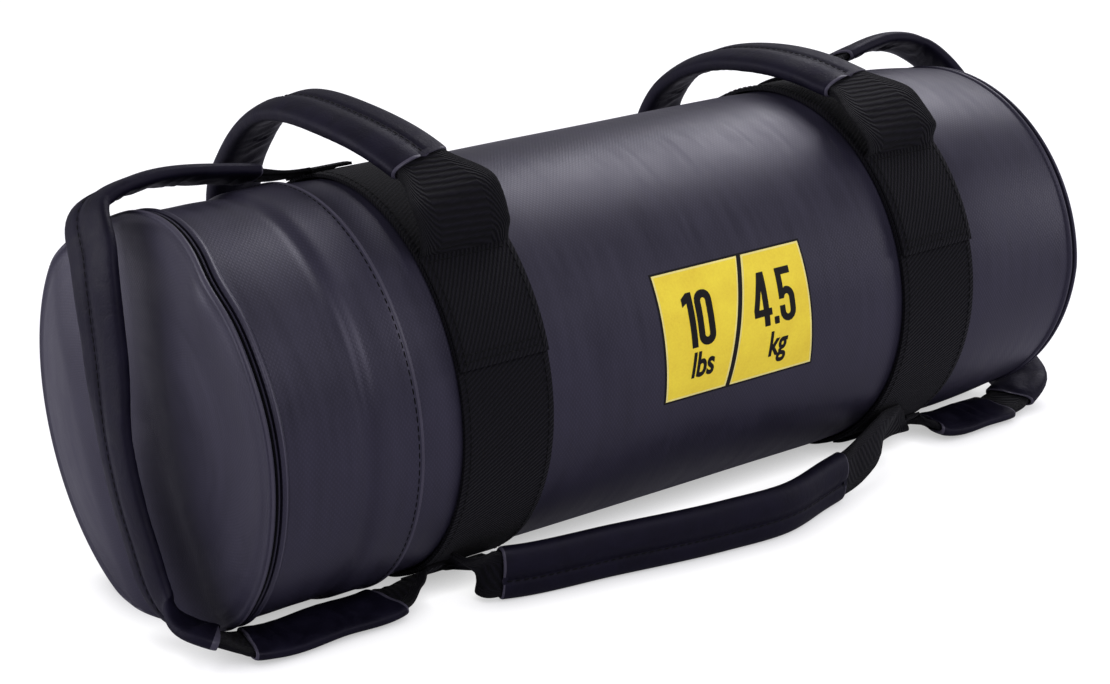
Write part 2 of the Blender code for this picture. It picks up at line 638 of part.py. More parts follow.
def make_end_strap(side_name, side, rim):
    """The strap over one end: from the band's top, round the cap, and back under to the band."""
    prefix = "end_strap_" + side_name + "_"
    foot_end = BAND_EDGE - CLEARANCE
    foot_along(prefix + "foot_top", side * (foot_end - END_TOP_FOOT_LENGTH), side * foot_end,
               END_STRAP_WIDTH, TOP_ANGLE)
    foot_along(prefix + "foot_bottom", side * (foot_end - END_FOOT_LENGTH), side * foot_end,
               END_STRAP_WIDTH, BOTTOM_ANGLE)

    outward = Vector((side, 0.0, 0.0))
    top = surface(side * (BAND_EDGE + CLEARANCE), TOP_ANGLE, FOOT_HEIGHT)
    bottom = surface(side * (BAND_EDGE + CLEARANCE), BOTTOM_ANGLE, FOOT_HEIGHT)
    across_top = tangent(TOP_ANGLE)
    across_floor = Vector((0.0, 1.0, 0.0))
    across_bottom = -tangent(BOTTOM_ANGLE)
    section = rim - BAND_EDGE
    outside = rim + END_STAND_OFF[side_name]
    shoulder = outside - END_SHOULDER[side_name]
    radius = BAG_RADIUS
    low = END_SLEEVE_THICKNESS / 2 + FLOOR_GAP
    under = BAG_RADIUS + VINYL + 3 * CLEARANCE
    floor_y = -(math.sqrt(under ** 2 - (AXIS_HEIGHT - END_SLEEVE_THICKNESS - FLOOR_GAP) ** 2)
                + (END_SLEEVE_WIDTH - END_SLEEVE_THICKNESS) / 2)

    def over(x, height):
        return surface(side * x, TOP_ANGLE, height)

    def beside_cap(x, share, rise):
        """A point beside the cap, at a share of the way from the bag's top line to its floor line."""
        y = over(0.0, 0.0).y * (1 - share) + floor_y * share
        return Vector((side * x, y, AXIS_HEIGHT + rise))

    knots = [
        (top, across_top),
        (over(BAND_EDGE + 0.10 * section, FOOT_HEIGHT + 0.0012), across_top),
        (over(BAND_EDGE + 0.40 * section, END_RISE * 0.88), across_top),
        (over(shoulder - 0.0250, END_RISE), across_top),
        (over(shoulder - 0.0025, END_RISE * 0.50), across_top),
        (beside_cap((shoulder + outside) / 2 + 0.0020, 0.10, 0.80 * radius), across_top),
        (beside_cap(outside - 0.0004, 0.26, 0.38 * radius), across_top.lerp(across_floor, 0.2)),
        (beside_cap(outside + 0.0010, 0.44, -0.03 * radius), across_top.lerp(across_floor, 0.45)),
        (beside_cap(outside - 0.0005, 0.65, -0.45 * radius), across_top.lerp(across_floor, 0.7)),
        (beside_cap(outside - 0.0060, 0.84, -0.78 * radius), across_top.lerp(across_floor, 0.9)),
        (Vector((side * (outside - 0.0150), floor_y * 0.97, low + 0.0062)), across_floor),
        (Vector((side * (outside - 0.0230), floor_y * 0.99, low + 0.0016)), across_floor),
        (Vector((side * (outside - 0.0340), floor_y, low)), across_floor),
        (Vector((side * (BAND_EDGE + 0.55 * section), floor_y, low)), across_floor),
        (Vector((side * (BAND_EDGE + 0.0170), floor_y * 0.985, low + 0.0009)), across_floor),
        (Vector((side * (BAND_EDGE + 0.0085), bottom.y * 0.55 + floor_y * 0.45, bottom.z * 0.65 + low * 0.35)),
         across_bottom.lerp(across_floor, 0.5)),
        (bottom, across_bottom),
    ]
    route = Route(knots, outward, -outward)
    middle = (top + bottom) / 2
    under_length = END_UNDER_LENGTH[side_name]
    upper_start = 0.026
    lower_end = route.length - 0.018
    lower_start = lower_end - under_length
    upper_end = lower_start - 0.024
    turn = upper_end - 0.060
    upper = [upper_start] + spread(upper_start + SLEEVE_MOUTH, turn, 13)
    upper += spread(turn, upper_end - SLEEVE_MOUTH, 11)[1:] + [upper_end]
    lower = sleeve_stations(lower_start, under_length, 4)
    stations = spread(0.0, upper_start, 4)[:-1] + upper + spread(upper_end, lower_start, 4)[1:-1]
    stations += lower + spread(lower_end, route.length, 6)[1:]
    make_strap(prefix + "webbing", route, stations, END_STRAP_WIDTH,
               [(upper_start, upper_end), (lower_start, lower_end)], middle)
    make_sleeve(prefix, "upper_", route, upper, END_SLEEVE_WIDTH, END_SLEEVE_THICKNESS, middle)
    make_sleeve(prefix, "lower_", route, lower, END_SLEEVE_WIDTH, END_SLEEVE_THICKNESS, middle)


def main():
    """Builds every piece of the bag."""
    clear_scene()
    make_panels()
    left_pad = make_end("left", -1, LEFT_RIM)
    right_pad = make_end("right", 1, RIGHT_RIM)
    make_filling(left_pad, right_pad)
    for side_name, side in (("left", -1), ("right", 1)):
        make_band(side_name, side)
        make_grip(side_name, side)
    make_long_handle()
    make_end_strap("left", -1, LEFT_RIM)
    make_end_strap("right", 1, RIGHT_RIM)


main()
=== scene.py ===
"""Weighted training bag: vinyl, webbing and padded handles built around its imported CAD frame.

Lengths are metres, in the frame's own axes: X along the bag, Y away from the long handle, Z up.
An angle round the bag is in degrees, 0 at the front (-Y), 90 on top and -90 at the floor.
"""

import math

import bmesh
import bpy
import numpy as np
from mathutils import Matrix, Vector


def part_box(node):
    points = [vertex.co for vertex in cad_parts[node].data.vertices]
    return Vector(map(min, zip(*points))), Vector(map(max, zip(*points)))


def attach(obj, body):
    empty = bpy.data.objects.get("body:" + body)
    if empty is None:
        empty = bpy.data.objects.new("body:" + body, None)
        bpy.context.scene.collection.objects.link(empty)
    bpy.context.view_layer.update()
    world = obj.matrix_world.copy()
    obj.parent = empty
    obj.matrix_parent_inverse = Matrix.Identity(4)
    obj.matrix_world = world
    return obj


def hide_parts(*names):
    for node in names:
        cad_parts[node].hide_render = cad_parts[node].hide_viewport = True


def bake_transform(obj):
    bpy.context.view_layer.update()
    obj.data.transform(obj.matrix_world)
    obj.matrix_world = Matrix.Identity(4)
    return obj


bl_info = {
    "name": "Weighted Training Bag",
    "version": (1, 0, 0),
    "blender": (4, 5, 0),
    "location": "View3D > Sidebar > Training Bag",
    "description": "Builds a filled vinyl training bag with webbing bands and padded loop handles",
    "category": "Add Mesh",
}

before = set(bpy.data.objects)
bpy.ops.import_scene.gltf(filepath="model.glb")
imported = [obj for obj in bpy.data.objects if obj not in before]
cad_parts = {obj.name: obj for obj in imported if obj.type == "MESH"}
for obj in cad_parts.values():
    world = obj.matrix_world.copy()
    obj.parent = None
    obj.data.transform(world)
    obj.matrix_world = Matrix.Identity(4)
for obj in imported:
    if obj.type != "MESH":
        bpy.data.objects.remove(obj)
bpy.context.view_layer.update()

ALONG = np.array([1.0, 0.0, 0.0])
UP = np.array([0.0, 0.0, 1.0])
CLEARANCE = 0.0003      # left between two faces that are sewn together
TOP_ANGLE = 112.5       # middle of the grips, and the line of the end straps
BOTTOM_ANGLE = -57.0    # where the end straps' lower feet are sewn
STITCH_PITCH = 0.0042
RING_SIDES = 288        # facets round the bag's tube
END_SIDES = 240         # facets round its ends
SLEEVE_SIDES = 56       # facets round a padded sleeve
WEBBING_SIDES = 44      # facets round a strap of webbing
WEBBING_ROUND = 0.104   # length in the weave's pattern of the way round such a strap


def linear(hex_colour):
    """The linear RGBA of an sRGB hex colour."""
    channels = [int(hex_colour[k:k + 2], 16) / 255 for k in (1, 3, 5)]
    return tuple(c / 12.92 if c <= 0.04045 else ((c + 0.055) / 1.055) ** 2.4 for c in channels) + (1.0,)


def length(name, description, default):
    """A length property, in metres."""
    return bpy.props.FloatProperty(name=name, description=description, default=default, unit="LENGTH",
                                   precision=4)


def colour(name, description, default):
    """A colour property, from an sRGB hex value."""
    return bpy.props.FloatVectorProperty(name=name, description=description, default=linear(default),
                                         subtype="COLOR", size=4, min=0.0, max=1.0)


class BagSizes(bpy.types.PropertyGroup):
    """Sizes of the bag, as its CAD source has them."""

    radius: length("Bag radius", "From the bag's axis to the outside of its vinyl", 0.0975)
    axis_height: length("Axis height", "From the floor to the bag's axis", 0.094178)
    band_spacing: length("Band spacing", "Between the middle lines of the two bands", 0.277)
    band_width: length("Band width", "Width of the webbing sewn round the bag", 0.050)
    webbing: length("Webbing thickness", "Thickness of all the webbing", 0.0020)
    vinyl: length("Vinyl thickness", "Thickness of the coated fabric", 0.0016)
    left_rim: length("Left rim", "From the middle to the left end's rim", 0.260)
    right_rim: length("Right rim", "From the middle to the right end's rim", 0.247)
    lap_edge: length("Lap edge", "From the middle to the free edge of the left closing panel", 0.1845)
    lap_width: length("Lap width", "How far the closing panel lies over the main panel", 0.025)
    left_bulge: length("Left bulge", "How far the back half of the left end stands out", 0.0170)
    left_sway: length("Left sway", "How far the front of the left rim stands out", 0.0052)
    right_droop: length("Right droop", "How far the top of the right end sinks", 0.0070)
    crease: length("Crease depth", "Depth of the soft folds in the vinyl", 0.0011)


class BagFinish(bpy.types.PropertyGroup):
    """Colours of the bag."""

    vinyl: colour("Body vinyl", "Coated fabric of the body and the ends", "#282633")
    # This lighter vinyl is partly real rubbing at the sleeves' cut edges, partly a painted highlight on the
    # lap's folded edge and on the lips' crests.
    rubbed: colour("Rubbed edge", "Vinyl at folded and cut edges, where its coating is rubbed", "#45424f")
    sleeve: colour("Sleeve vinyl", "Soft leatherette round the handles' foam", "#0f0d1a")
    webbing: colour("Webbing", "Bands and straps", "#07060c")
    thread: colour("Thread", "Sewing thread", "#050508")
    yellow: colour("Weight panel", "Yellow ink of the weight panel", "#ffdf42")
    pale: colour("Panel edge", "Pale edge of the weight panel", "#f7e88c")
    ink: colour("Ink", "Dark ink of the weight panel", "#070405")
    foam: colour("Foam", "Closed-cell foam of the end pads", "#5b5c60")
    wadding: colour("Wadding", "Polyester wadding round the pouch", "#c9c5bb")
    pouch: colour("Pouch", "Woven inner pouch", "#3a3d44")


class StageSettings(bpy.types.PropertyGroup):
    """Camera, lights and floor."""

    floor: colour("Floor", "Painted floor", "#cbc9d3")
    lens: bpy.props.FloatProperty(name="Lens", description="Focal length in mm on a 36 mm sensor",
                                  default=77.68, min=10.0, max=300.0)
    azimuth: bpy.props.FloatProperty(name="Azimuth", description="Camera heading from +Y towards +X",
                                     default=math.radians(37.0), subtype="ANGLE")
    tilt: bpy.props.FloatProperty(name="Tilt", description="How far the camera looks down",
                                  default=math.radians(20.27), subtype="ANGLE")
    place: bpy.props.FloatVectorProperty(name="Camera place", description="Where the camera stands",
                                         default=(-0.7323, -0.9215, 0.5106), subtype="TRANSLATION")
    key: bpy.props.FloatProperty(name="Key light", description="Power of the main soft light",
                                 default=22.0, unit="POWER")
    sky: bpy.props.FloatProperty(name="Room light", description="Strength of the even room light",
                                 default=0.30, min=0.0, max=2.0)


# Meshes from grids

def link_mesh(name, vertices, faces, uvs=None, merge=False, recalc=True):
    """A smooth-shaded object of numpy vertices and faces. uvs holds one pair per face corner."""
    mesh = bpy.data.meshes.new(name)
    mesh.from_pydata(vertices.tolist(), [], [list(face) for face in faces])
    if uvs is not None:
        layer = mesh.uv_layers.new(name="UVMap")
        layer.data.foreach_set("uv", np.asarray(uvs, np.float32).ravel())
    bm = bmesh.new()
    bm.from_mesh(mesh)
    if merge:
        bmesh.ops.remove_doubles(bm, verts=bm.verts, dist=1e-6)
    if recalc:
        bmesh.ops.recalc_face_normals(bm, faces=bm.faces)
    bm.to_mesh(mesh)
    bm.free()
    mesh.shade_smooth()
    mesh.set_sharp_from_angle(angle=math.radians(38))
    piece = bpy.data.objects.new(name, mesh)
    bpy.context.scene.collection.objects.link(piece)
    return piece


def grid_piece(name, points, uv=None, wrap_rows=False, poles=False):
    """An object from a grid of points, rows by columns, bridged with quads. The columns wrap round.

    Rows that wrap are joined to the first again. Rows that don't wrap are closed with one flat
    face over each end, or by poles where the end rows are single points.
    """
    rows, columns = points.shape[:2]
    r, c = np.meshgrid(np.arange(rows if wrap_rows else rows - 1), np.arange(columns), indexing="ij")
    corners_r = np.stack([r, r, r + 1, r + 1], axis=-1).reshape(-1, 4)
    corners_c = np.stack([c, c + 1, c + 1, c], axis=-1).reshape(-1, 4)
    faces = ((corners_r % rows) * columns + corners_c % columns).tolist()
    ends = []
    if not wrap_rows and not poles:
        ends = [list(range(columns)), list(range((rows - 1) * columns, rows * columns))]
    corner_uv = None
    if uv is not None:
        along, around = uv
        corner_uv = np.stack([along[corners_r], around[corners_c]], axis=-1).reshape(-1, 2)
        corner_uv = np.concatenate([corner_uv, np.zeros((len(ends) * columns, 2))])
    return link_mesh(name, points.reshape(-1, 3), faces + ends, corner_uv, merge=poles)


def closed_sheet(name, front, back, uv=None):
    """A thin sheet from the grids of its front and its back face, folded round into one tube."""
    return grid_piece(name, np.concatenate([front, back[:, ::-1]], axis=1), uv)


def mark_rows(piece, columns, rows, kind):
    """Gives the faces that start at some rows of a grid piece a second material."""
    piece.data.materials.append(finish(kind))
    index = np.zeros(len(piece.data.polygons), np.int32)
    for row in rows:
        index[row * columns:(row + 1) * columns] = 1
    piece.data.polygons.foreach_set("material_index", index)


def lattice_noise(points, cell, seed):
    """Smooth noise from -1 to 1: a seeded lattice, blended between its corners by smoothstep."""
    lattice = np.random.RandomState(seed).uniform(-1, 1, (32, 32, 32))
    place = points / np.asarray(cell)
    base = np.floor(place).astype(int)
    part = place - base
    part = part * part * (3 - 2 * part)
    total = 0.0
    for corner in np.ndindex(2, 2, 2):
        weight = np.prod(np.where(corner, part, 1 - part), axis=-1)
        i, j, k = np.moveaxis((base + corner) % 32, -1, 0)
        total = total + weight * lattice[i, j, k]
    return total


def smooth(value, start, end):
    """Rises from 0 at start to 1 at end, by smoothstep."""
    t = np.clip((value - start) / (end - start), 0.0, 1.0)
    return t * t * (3 - 2 * t)


def bump_at(value, middle, width):
    """A bell curve: 1 at the middle, falling off over the width on both sides."""
    return np.exp(-((value - middle) / width) ** 2)


# The bag's own surface

def right_loss(sizes, x, turn):
    """The share of its radius that the soft right end loses: it grows as a power of x."""
    start = sizes.band_spacing / 2 + sizes.band_width / 2 + 0.020
    share = np.clip((x - start) / (sizes.right_rim - start), 0.0, 1.2) ** 1.74
    droop = sizes.right_droop * np.maximum(np.sin(turn), 0.0) ** 1.3
    lift = 0.005 * np.maximum(-np.sin(turn), 0.0)
    return share * (droop + lift) / sizes.radius


def on_bag(sizes, x, angle, height, floor=0.0):
    """Points on the bag, at a height above its vinyl.

    x' = x - bulge, y = -r cos(angle), z = axis + r sin(angle) but not under the floor, where
    r = (radius + height)(1 - loss), and bulge is how far the soft left end is pushed out.
    """
    x, angle, height = np.broadcast_arrays(x, angle, height)
    turn = np.radians(angle)
    reach = (sizes.radius + height) * (1 - right_loss(sizes, x, turn))
    y = -reach * np.cos(turn)
    z = reach * np.sin(turn)
    behind = y * math.cos(math.radians(22.5)) - z * math.sin(math.radians(22.5))
    bulge = sizes.left_bulge * smooth(-x, 0.215, 0.252) * smooth(behind, -0.005, 0.050)
    sway = smooth(angle, -78, -34) * smooth(-angle, -92, -50)
    sway = sway + 0.32 * bump_at(angle, 58, 9) - 0.22 * bump_at(angle, 12, 22)
    bulge = bulge + sizes.left_sway * sway * smooth(-x, 0.205, 0.256) * smooth(reach, 0.060, 0.093)
    z = sizes.axis_height + z
    softness = 0.0012
    z = (z + floor + np.sqrt((z - floor) ** 2 + softness ** 2)) / 2
    return np.stack([x - bulge, y, z], axis=-1)


def noise_places(x, turn, radius):
    """Where noise is read for points at x and a turn round the bag, on a plain round tube."""
    return np.stack(np.broadcast_arrays(x, np.cos(turn) * radius, np.sin(turn) * radius), axis=-1)


def folds(sizes, x, angle):
    """Depth of the vinyl's soft folds, zero or less.

    Long noise that runs round the bag, deeper in the left section, with a pinch beside each band.
    """
    x, angle = np.broadcast_arrays(x, angle)
    place = noise_places(x, np.radians(angle), sizes.radius)
    wide = lattice_noise(place, (0.050, 0.120, 0.120), 3)
    narrow = lattice_noise(place, (0.012, 0.070, 0.070), 8)
    section = smooth(-x, 0.175, 0.200)
    depth = (0.5 + 0.5 * section) * (wide - 1) * 0.5 + section * 0.35 * (narrow - 1) * 0.5
    beside = np.abs(np.abs(x) - sizes.band_spacing / 2) - sizes.band_width / 2
    return sizes.crease * (depth - 0.45 * bump_at(np.maximum(beside, 0.0), 0.0, 0.010))


def ring_angles(count):
    """Evenly spaced angles round the bag, starting at its back."""
    return np.linspace(-180.0, 180.0, count, endpoint=False)


def round_uv(sizes, x, height, columns):
    """UV values in metres: the way along a profile of x and height, and the way round the bag."""
    along = np.concatenate([[0.0], np.cumsum(np.hypot(x, height))])
    return along, np.linspace(0.0, 2 * math.pi * sizes.radius, columns + 1)


def turned_piece(name, sizes, x, height, floor, columns=RING_SIDES, creased=None):
    """A closed profile of x, height and floor, turned round the bag as one torus grid."""
    angles = ring_angles(columns)[None, :]
    rise = height[:, None] + np.zeros((1, columns))
    if creased is not None:
        rise = rise + creased[:, None] * folds(sizes, x[:, None], angles)
    points = on_bag(sizes, x[:, None], angles, rise, floor[:, None])
    uv = round_uv(sizes, np.diff(x, append=x[0]), np.diff(height, append=height[0]), columns)
    return grid_piece(name, points, uv, wrap_rows=True)


def bead(edge, side, width, height, steps=9):
    """x and height of a rolled edge: half a sine wave that ends at edge."""
    share = np.linspace(0.0, 1.0, steps)
    return edge - side * width * (1 - share), height * np.sin(share * math.pi * 0.86) ** 0.8


def surface_point(sizes, x, angle, height):
    """One point at a height above the bag's round surface."""
    return np.array([x, 0.0, sizes.axis_height]) + (sizes.radius + height) * away(angle)


def round_bag(angle):
    """The direction round the bag, in which the angle grows."""
    turn = math.radians(angle)
    return np.array([0.0, math.sin(turn), math.cos(turn)])


def away(angle):
    """The direction straight out of the bag."""
    turn = math.radians(angle)
    return np.array([0.0, -math.cos(turn), math.sin(turn)])


# Routes of the handles

def make_route(knots, lead_in, lead_out):
    """A smooth line through knots of (place, width direction).

    Each gap is a cubic with given headings at its ends. A knot's heading is the mean of the
    directions on both sides, each weighted by the other side's gap.
    """
    places = np.array([place for place, width in knots])
    widths = np.array([width for place, width in knots])
    steps = np.diff(places, axis=0)
    gaps = np.linalg.norm(steps, axis=1)[:, None]
    slopes = steps / gaps
    middle = (slopes[:-1] * gaps[1:] + slopes[1:] * gaps[:-1]) / (gaps[:-1] + gaps[1:])
    headings = np.concatenate([[lead_in], middle, [lead_out]])
    t = (np.arange(24) / 24)[None, :, None]
    first, second = places[:-1, None], places[1:, None]
    leave, arrive = headings[:-1, None], headings[1:, None]
    gap = gaps[:, None]
    points = (first * (1 + 2 * t) * (1 - t) ** 2 + leave * gap * t * (1 - t) ** 2
              + second * t * t * (3 - 2 * t) - arrive * gap * t * t * (1 - t))
    share = t * t * (3 - 2 * t)
    across = widths[:-1, None] * (1 - share) + widths[1:, None] * share
    points = np.concatenate([points.reshape(-1, 3), places[-1:]])
    across = np.concatenate([across.reshape(-1, 3), widths[-1:]])
    reach = np.concatenate([[0.0], np.cumsum(np.linalg.norm(np.diff(points, axis=0), axis=1))])
    along = np.gradient(points, reach, axis=0)
    along[0], along[-1] = lead_in, lead_out
    return {"points": points, "across": across, "along": along, "reach": reach, "length": reach[-1]}


def unit(vectors):
    """The same vectors, one long."""
    return vectors / np.linalg.norm(vectors, axis=-1, keepdims=True)


def stations_of(route, distances):
    """The points, headings, width directions and face directions so far along a route."""
    def mix(values):
        """The route's values at the distances, by linear interpolation."""
        return np.stack([np.interp(distances, route["reach"], values[:, k]) for k in range(3)], axis=-1)

    points, along, across = mix(route["points"]), unit(mix(route["along"])), mix(route["across"])
    across = unit(across - along * np.sum(along * across, axis=-1, keepdims=True))
    return points, along, across, np.cross(along, across)


def flat_oval(width, thickness, count, power):
    """Section points (across, out): a superellipse, with width and thickness as arrays or numbers."""
    turn = np.linspace(0.0, 2 * math.pi, count, endpoint=False)
    cos, sin = np.cos(turn), np.sin(turn)
    across = np.sign(cos) * np.abs(cos) ** (2 / power)
    out = np.sign(sin) * np.abs(sin) ** (2 / power)
    half_width = np.asarray(width, float)[..., None] / 2
    half_thickness = np.asarray(thickness, float)[..., None] / 2
    return np.stack([across * half_width, out * half_thickness], axis=-1)


def placed(route, distances, section, face):
    """Section points set along a route: point + width direction x across + face direction x out."""
    points, _, across, out = stations_of(route, distances)
    return (points[:, None] + across[:, None] * section[..., 0:1]
            + out[:, None] * section[..., 1:2] * face)


def padded_section(width, thickness, stations, style):
    """Sections of a padded sleeve, one per station.

    A superellipse whose outer face has a seam groove at style's seam, a rolled edge on one side,
    and a flatter remainder. The inner face is drawn in a little, with cross creases.
    """
    section = flat_oval(width, thickness, SLEEVE_SIDES, style["power"])
    section = np.repeat(section[None], len(stations), axis=0)
    share = section[0, :, 0] / (width / 2)
    outer = np.clip(section[0, :, 1] / (thickness / 2), 0.0, 1.0)
    inner = np.clip(-section[0, :, 1] / (thickness / 2), 0.0, 1.0)
    groove = style["seam_depth"] * bump_at(share, style["seam"], style["seam_width"])
    flat = style["flat"] * smooth(share * style["roll_side"], 0.30, -0.15)
    relief = -(groove + flat) * outer + 0.0004 * inner
    s = stations[:, None]
    phase = 2 * math.pi * (s / style["crease_pitch"]
                           + 0.35 * np.sin(s * 190.0) + 0.12 * np.sin(share * 5.0))
    creases = np.sin(phase) * style["crease"] * inner * np.cos(share * 1.35) ** 2
    place = np.stack(np.broadcast_arrays(s, share * 0.012, outer * 0.02), axis=-1)
    swell = 1 + style["swell"] * lattice_noise(place, (0.022, 0.010, 0.014), style["seed"])
    section[..., 1] = (section[..., 1] + relief) * swell + creases
    return section


def sleeve_piece(name, route, start, end, style, face):
    """A padded sleeve as one closed tube: its outer skin, a cut edge at each mouth, and its bore.

    The rows run along the outside, turn in over the cut edges and run back through the bore.
    """
    width, thickness = style["size"]
    wall, mouth = 0.0013, 0.003
    inset = np.array([0.0, 0.0004, 0.0012])
    drawn_in = np.array([0.93, 0.97, 0.995])
    outside = np.concatenate([start + inset, np.linspace(start + mouth, end - mouth, style["rows"]),
                              end - inset[::-1]])
    ends = np.concatenate([drawn_in, np.ones(style["rows"]), drawn_in[::-1]])
    sections = padded_section(width, thickness, outside, style) * ends[:, None, None]
    bore = flat_oval(width - 2 * wall, thickness - 2 * wall, SLEEVE_SIDES, style["power"])
    slot = flat_oval(*style["core"], SLEEVE_SIDES, 2.6)
    through = np.linspace(end - mouth, start + mouth, style["rows"] // 2)
    back = np.concatenate([[end, end - mouth], through, [start + mouth, start]])
    inside = np.concatenate([[bore, bore], np.repeat(slot[None], len(through), axis=0), [bore, bore]])
    points = placed(route, np.concatenate([outside, back]), np.concatenate([sections, inside]), face)
    along = np.concatenate([outside - start, 2 * end - start - back, [2 * (end - start)]])
    around = np.linspace(0.0, 2 * (width + thickness), SLEEVE_SIDES + 1)
    last = len(outside) - 1
    cut_rows = [0, 1, last - 2, last - 1, last, len(along) - 2]
    return grid_piece(name, points, (along, around), wrap_rows=True), cut_rows


def sewn_sleeve(name, body, route, start, end, style, face):
    """A handle's padded sleeve, with its cut edges rubbed and its seam stitched along the outside."""
    piece, cut_rows = sleeve_piece(f"{name}_sleeve_vinyl", route, start, end, style, face)
    finished(piece, body, "sleeve", [f"{name}_sleeve", f"{name}_foam"])
    mark_rows(piece, SLEEVE_SIDES, cut_rows, "rubbed")
    half_width, rise = style["seam_place"]
    points, along, across, out = stations_of(route, np.arange(start + 0.004, end - 0.004, STITCH_PITCH))
    points = points + across * (half_width * style["seam"]) + out * face * rise
    finished(thread_row(f"{name}_seam", points, along, out * face), body, "thread")


def webbing_stretch(name, body, node_name, route, sleeves, span, style, wide, thin, face, bend=None):
    """A stretch of a handle's webbing, between two distances along its route.

    It is narrow and thick inside the sleeves, and becomes wide and thin outside them by smoothstep.
    bend holds the distances of the foot and of the sleeve's mouth; when it is given, the stretch keeps no
    body and has its transform baked.
    """
    distances = np.linspace(*span, style["stations"])
    gap = np.min([np.maximum(start - distances, distances - end) for start, end in sleeves], axis=0)
    narrow, widened_at = style["narrow"]
    thick, thinned_from, thinned_at = style["thick"]
    width = narrow + (wide - narrow) * smooth(gap, -0.001, widened_at)
    thickness = thick + (thin - thick) * smooth(gap, thinned_from, thinned_at)
    points = placed(route, distances, flat_oval(width, thickness, WEBBING_SIDES, 7.0), face)
    around = np.linspace(0.0, WEBBING_ROUND, WEBBING_SIDES + 1)
    ends = stations_of(route, np.array(bend))[0] if bend else None
    finished(grid_piece(name, points, (distances - distances[0], around)), body, "webbing", [node_name],
             blend=ends)


def webbing_legs(body, places, route, start, end, style, wide, thin, face):
    """The two legs of a handle, from its feet to 12 mm inside its sleeve."""
    length, inside = route["length"], 0.012
    for place, span, bend in ((places[0], (0.0, start + inside), (0.0, start)),
                              (places[1], (end - inside, length), (length, end))):
        webbing_stretch(f"{body}_leg_{place}_webbing", body, f"{body}_strap", route, [(start, end)], span,
                        style, wide, thin, face, bend)


# Sewing

def thread_row(name, points, along, normal):
    """A row of stitches: each is a small six-sided spindle laid on the surface at one point."""
    sides, stitch, width, height = 6, 0.0030, 0.0007, 0.0005
    turn = np.linspace(0.0, 2 * math.pi, sides, endpoint=False)
    steps = np.array([-0.5, -0.36, 0.0, 0.36, 0.5])
    fat = np.array([0.35, 0.85, 1.0, 0.85, 0.35])[:, None]
    shape = np.stack([np.repeat(steps * stitch, sides), (fat * np.cos(turn) * width / 2).ravel(),
                      (fat * np.sin(turn) * height / 2).ravel()], axis=-1)
    side = unit(np.cross(normal, along))
    vertices = (points[:, None] + along[:, None] * shape[None, :, 0:1] + side[:, None] * shape[None, :, 1:2]
                + normal[:, None] * shape[None, :, 2:3])
    r, c = np.meshgrid(np.arange(4), np.arange(sides), indexing="ij")
    following = (c + 1) % sides
    quads = np.stack([r * sides + c, r * sides + following, (r + 1) * sides + following,
                      (r + 1) * sides + c], axis=-1).reshape(-1, 4)
    starts = np.arange(len(points))[:, None] * len(shape)
    faces = (quads[None] + starts[..., None]).reshape(-1, 4).tolist()
    for end in (0, 4 * sides):
        faces += (starts + end + np.arange(sides)).tolist()
    return link_mesh(name, vertices.reshape(-1, 3), faces)


def sew_on_bag(name, sizes, x, angle, height, pitch_along_x=False):
    """Stitches on the bag at arrays of x and angle, laid along X or round the bag."""
    points = on_bag(sizes, x, angle, height)
    turn = np.broadcast_to(np.radians(angle), points.shape[:1])
    still = np.zeros_like(turn)
    normal = np.stack([still, -np.cos(turn), np.sin(turn)], axis=-1)
    along = np.broadcast_to(ALONG, normal.shape)
    if not pitch_along_x:
        along = np.stack([still, np.sin(turn), np.cos(turn)], axis=-1)
    finished(thread_row(name, points, along, normal), "bag", "thread")


def finished(piece, body, kind, replaces=(), blend=None):
    """Gives a piece its material and what it stands for, and its body, unless it has a blend: then its
    transform is baked and it keeps no body.
    """
    piece.data.materials.clear()
    piece.data.materials.append(finish(kind))
    if blend is not None:
        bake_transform(piece)
    else:
        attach(piece, body)
    if replaces:
        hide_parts(*replaces)


# Materials

def node(tree, kind, settings, output=0):
    """Adds one shader node and gives one of its outputs. A setting that is a socket is linked."""
    made = tree.nodes.new("ShaderNode" + kind)
    for key, value in settings.items():
        if isinstance(value, bpy.types.NodeSocket):
            tree.links.new(value, made.inputs[key])
        elif isinstance(key, int) or (key in made.inputs and not hasattr(made, key)):
            made.inputs[key].default_value = value
        else:
            setattr(made, key, value)
    return made.outputs[output] if made.outputs else None


def calculated(tree, operation, *values):
    """The result of a Math node, from sockets and numbers."""
    return node(tree, "Math", {"operation": operation} | dict(enumerate(values)))


def noise(tree, place, scale, detail, **more):
    """The value of a noise texture, with its scale in cells to the metre."""
    return node(tree, "TexNoise", {"Vector": place, "Scale": scale, "Detail": detail} | more)


def wave(tree, place, turn, period, **more):
    """The value of a wave texture turned by degrees, whose bands repeat after a period in metres."""
    mapped = node(tree, "Mapping", {"Rotation": (0.0, 0.0, math.radians(turn)), "Vector": place})
    settings = {"Vector": mapped, "Scale": math.pi / 10 / period}
    return node(tree, "TexWave", settings | {key.replace("_", " "): more[key] for key in more}, "Fac")


def new_material(name, base, roughness, sockets):
    """A material with one Principled shader, and the outputs of its texture coordinates."""
    material = bpy.data.materials.new(name)
    material.use_nodes = True
    material.diffuse_color = base
    tree = material.node_tree
    shader = tree.nodes["Principled BSDF"]
    for key, value in ({"Base Color": base, "Roughness": roughness} | sockets).items():
        shader.inputs[key].default_value = value
    return material, tree, shader, tree.nodes.new("ShaderNodeTexCoord").outputs


def tinted(tree, shader, base, factor, low, high, start=0.0, end=1.0):
    """Links a base colour that runs from low to high times itself as factor runs from start to end."""
    ramp = tree.nodes.new("ShaderNodeValToRGB")
    for stop, times, position in zip(ramp.color_ramp.elements, (low, high), (start, end)):
        stop.color = tuple(min(c * times, 1.0) for c in base[:3]) + (1.0,)
        stop.position = position
    tree.links.new(factor, ramp.inputs["Fac"])
    tree.links.new(ramp.outputs["Color"], shader.inputs["Base Color"])


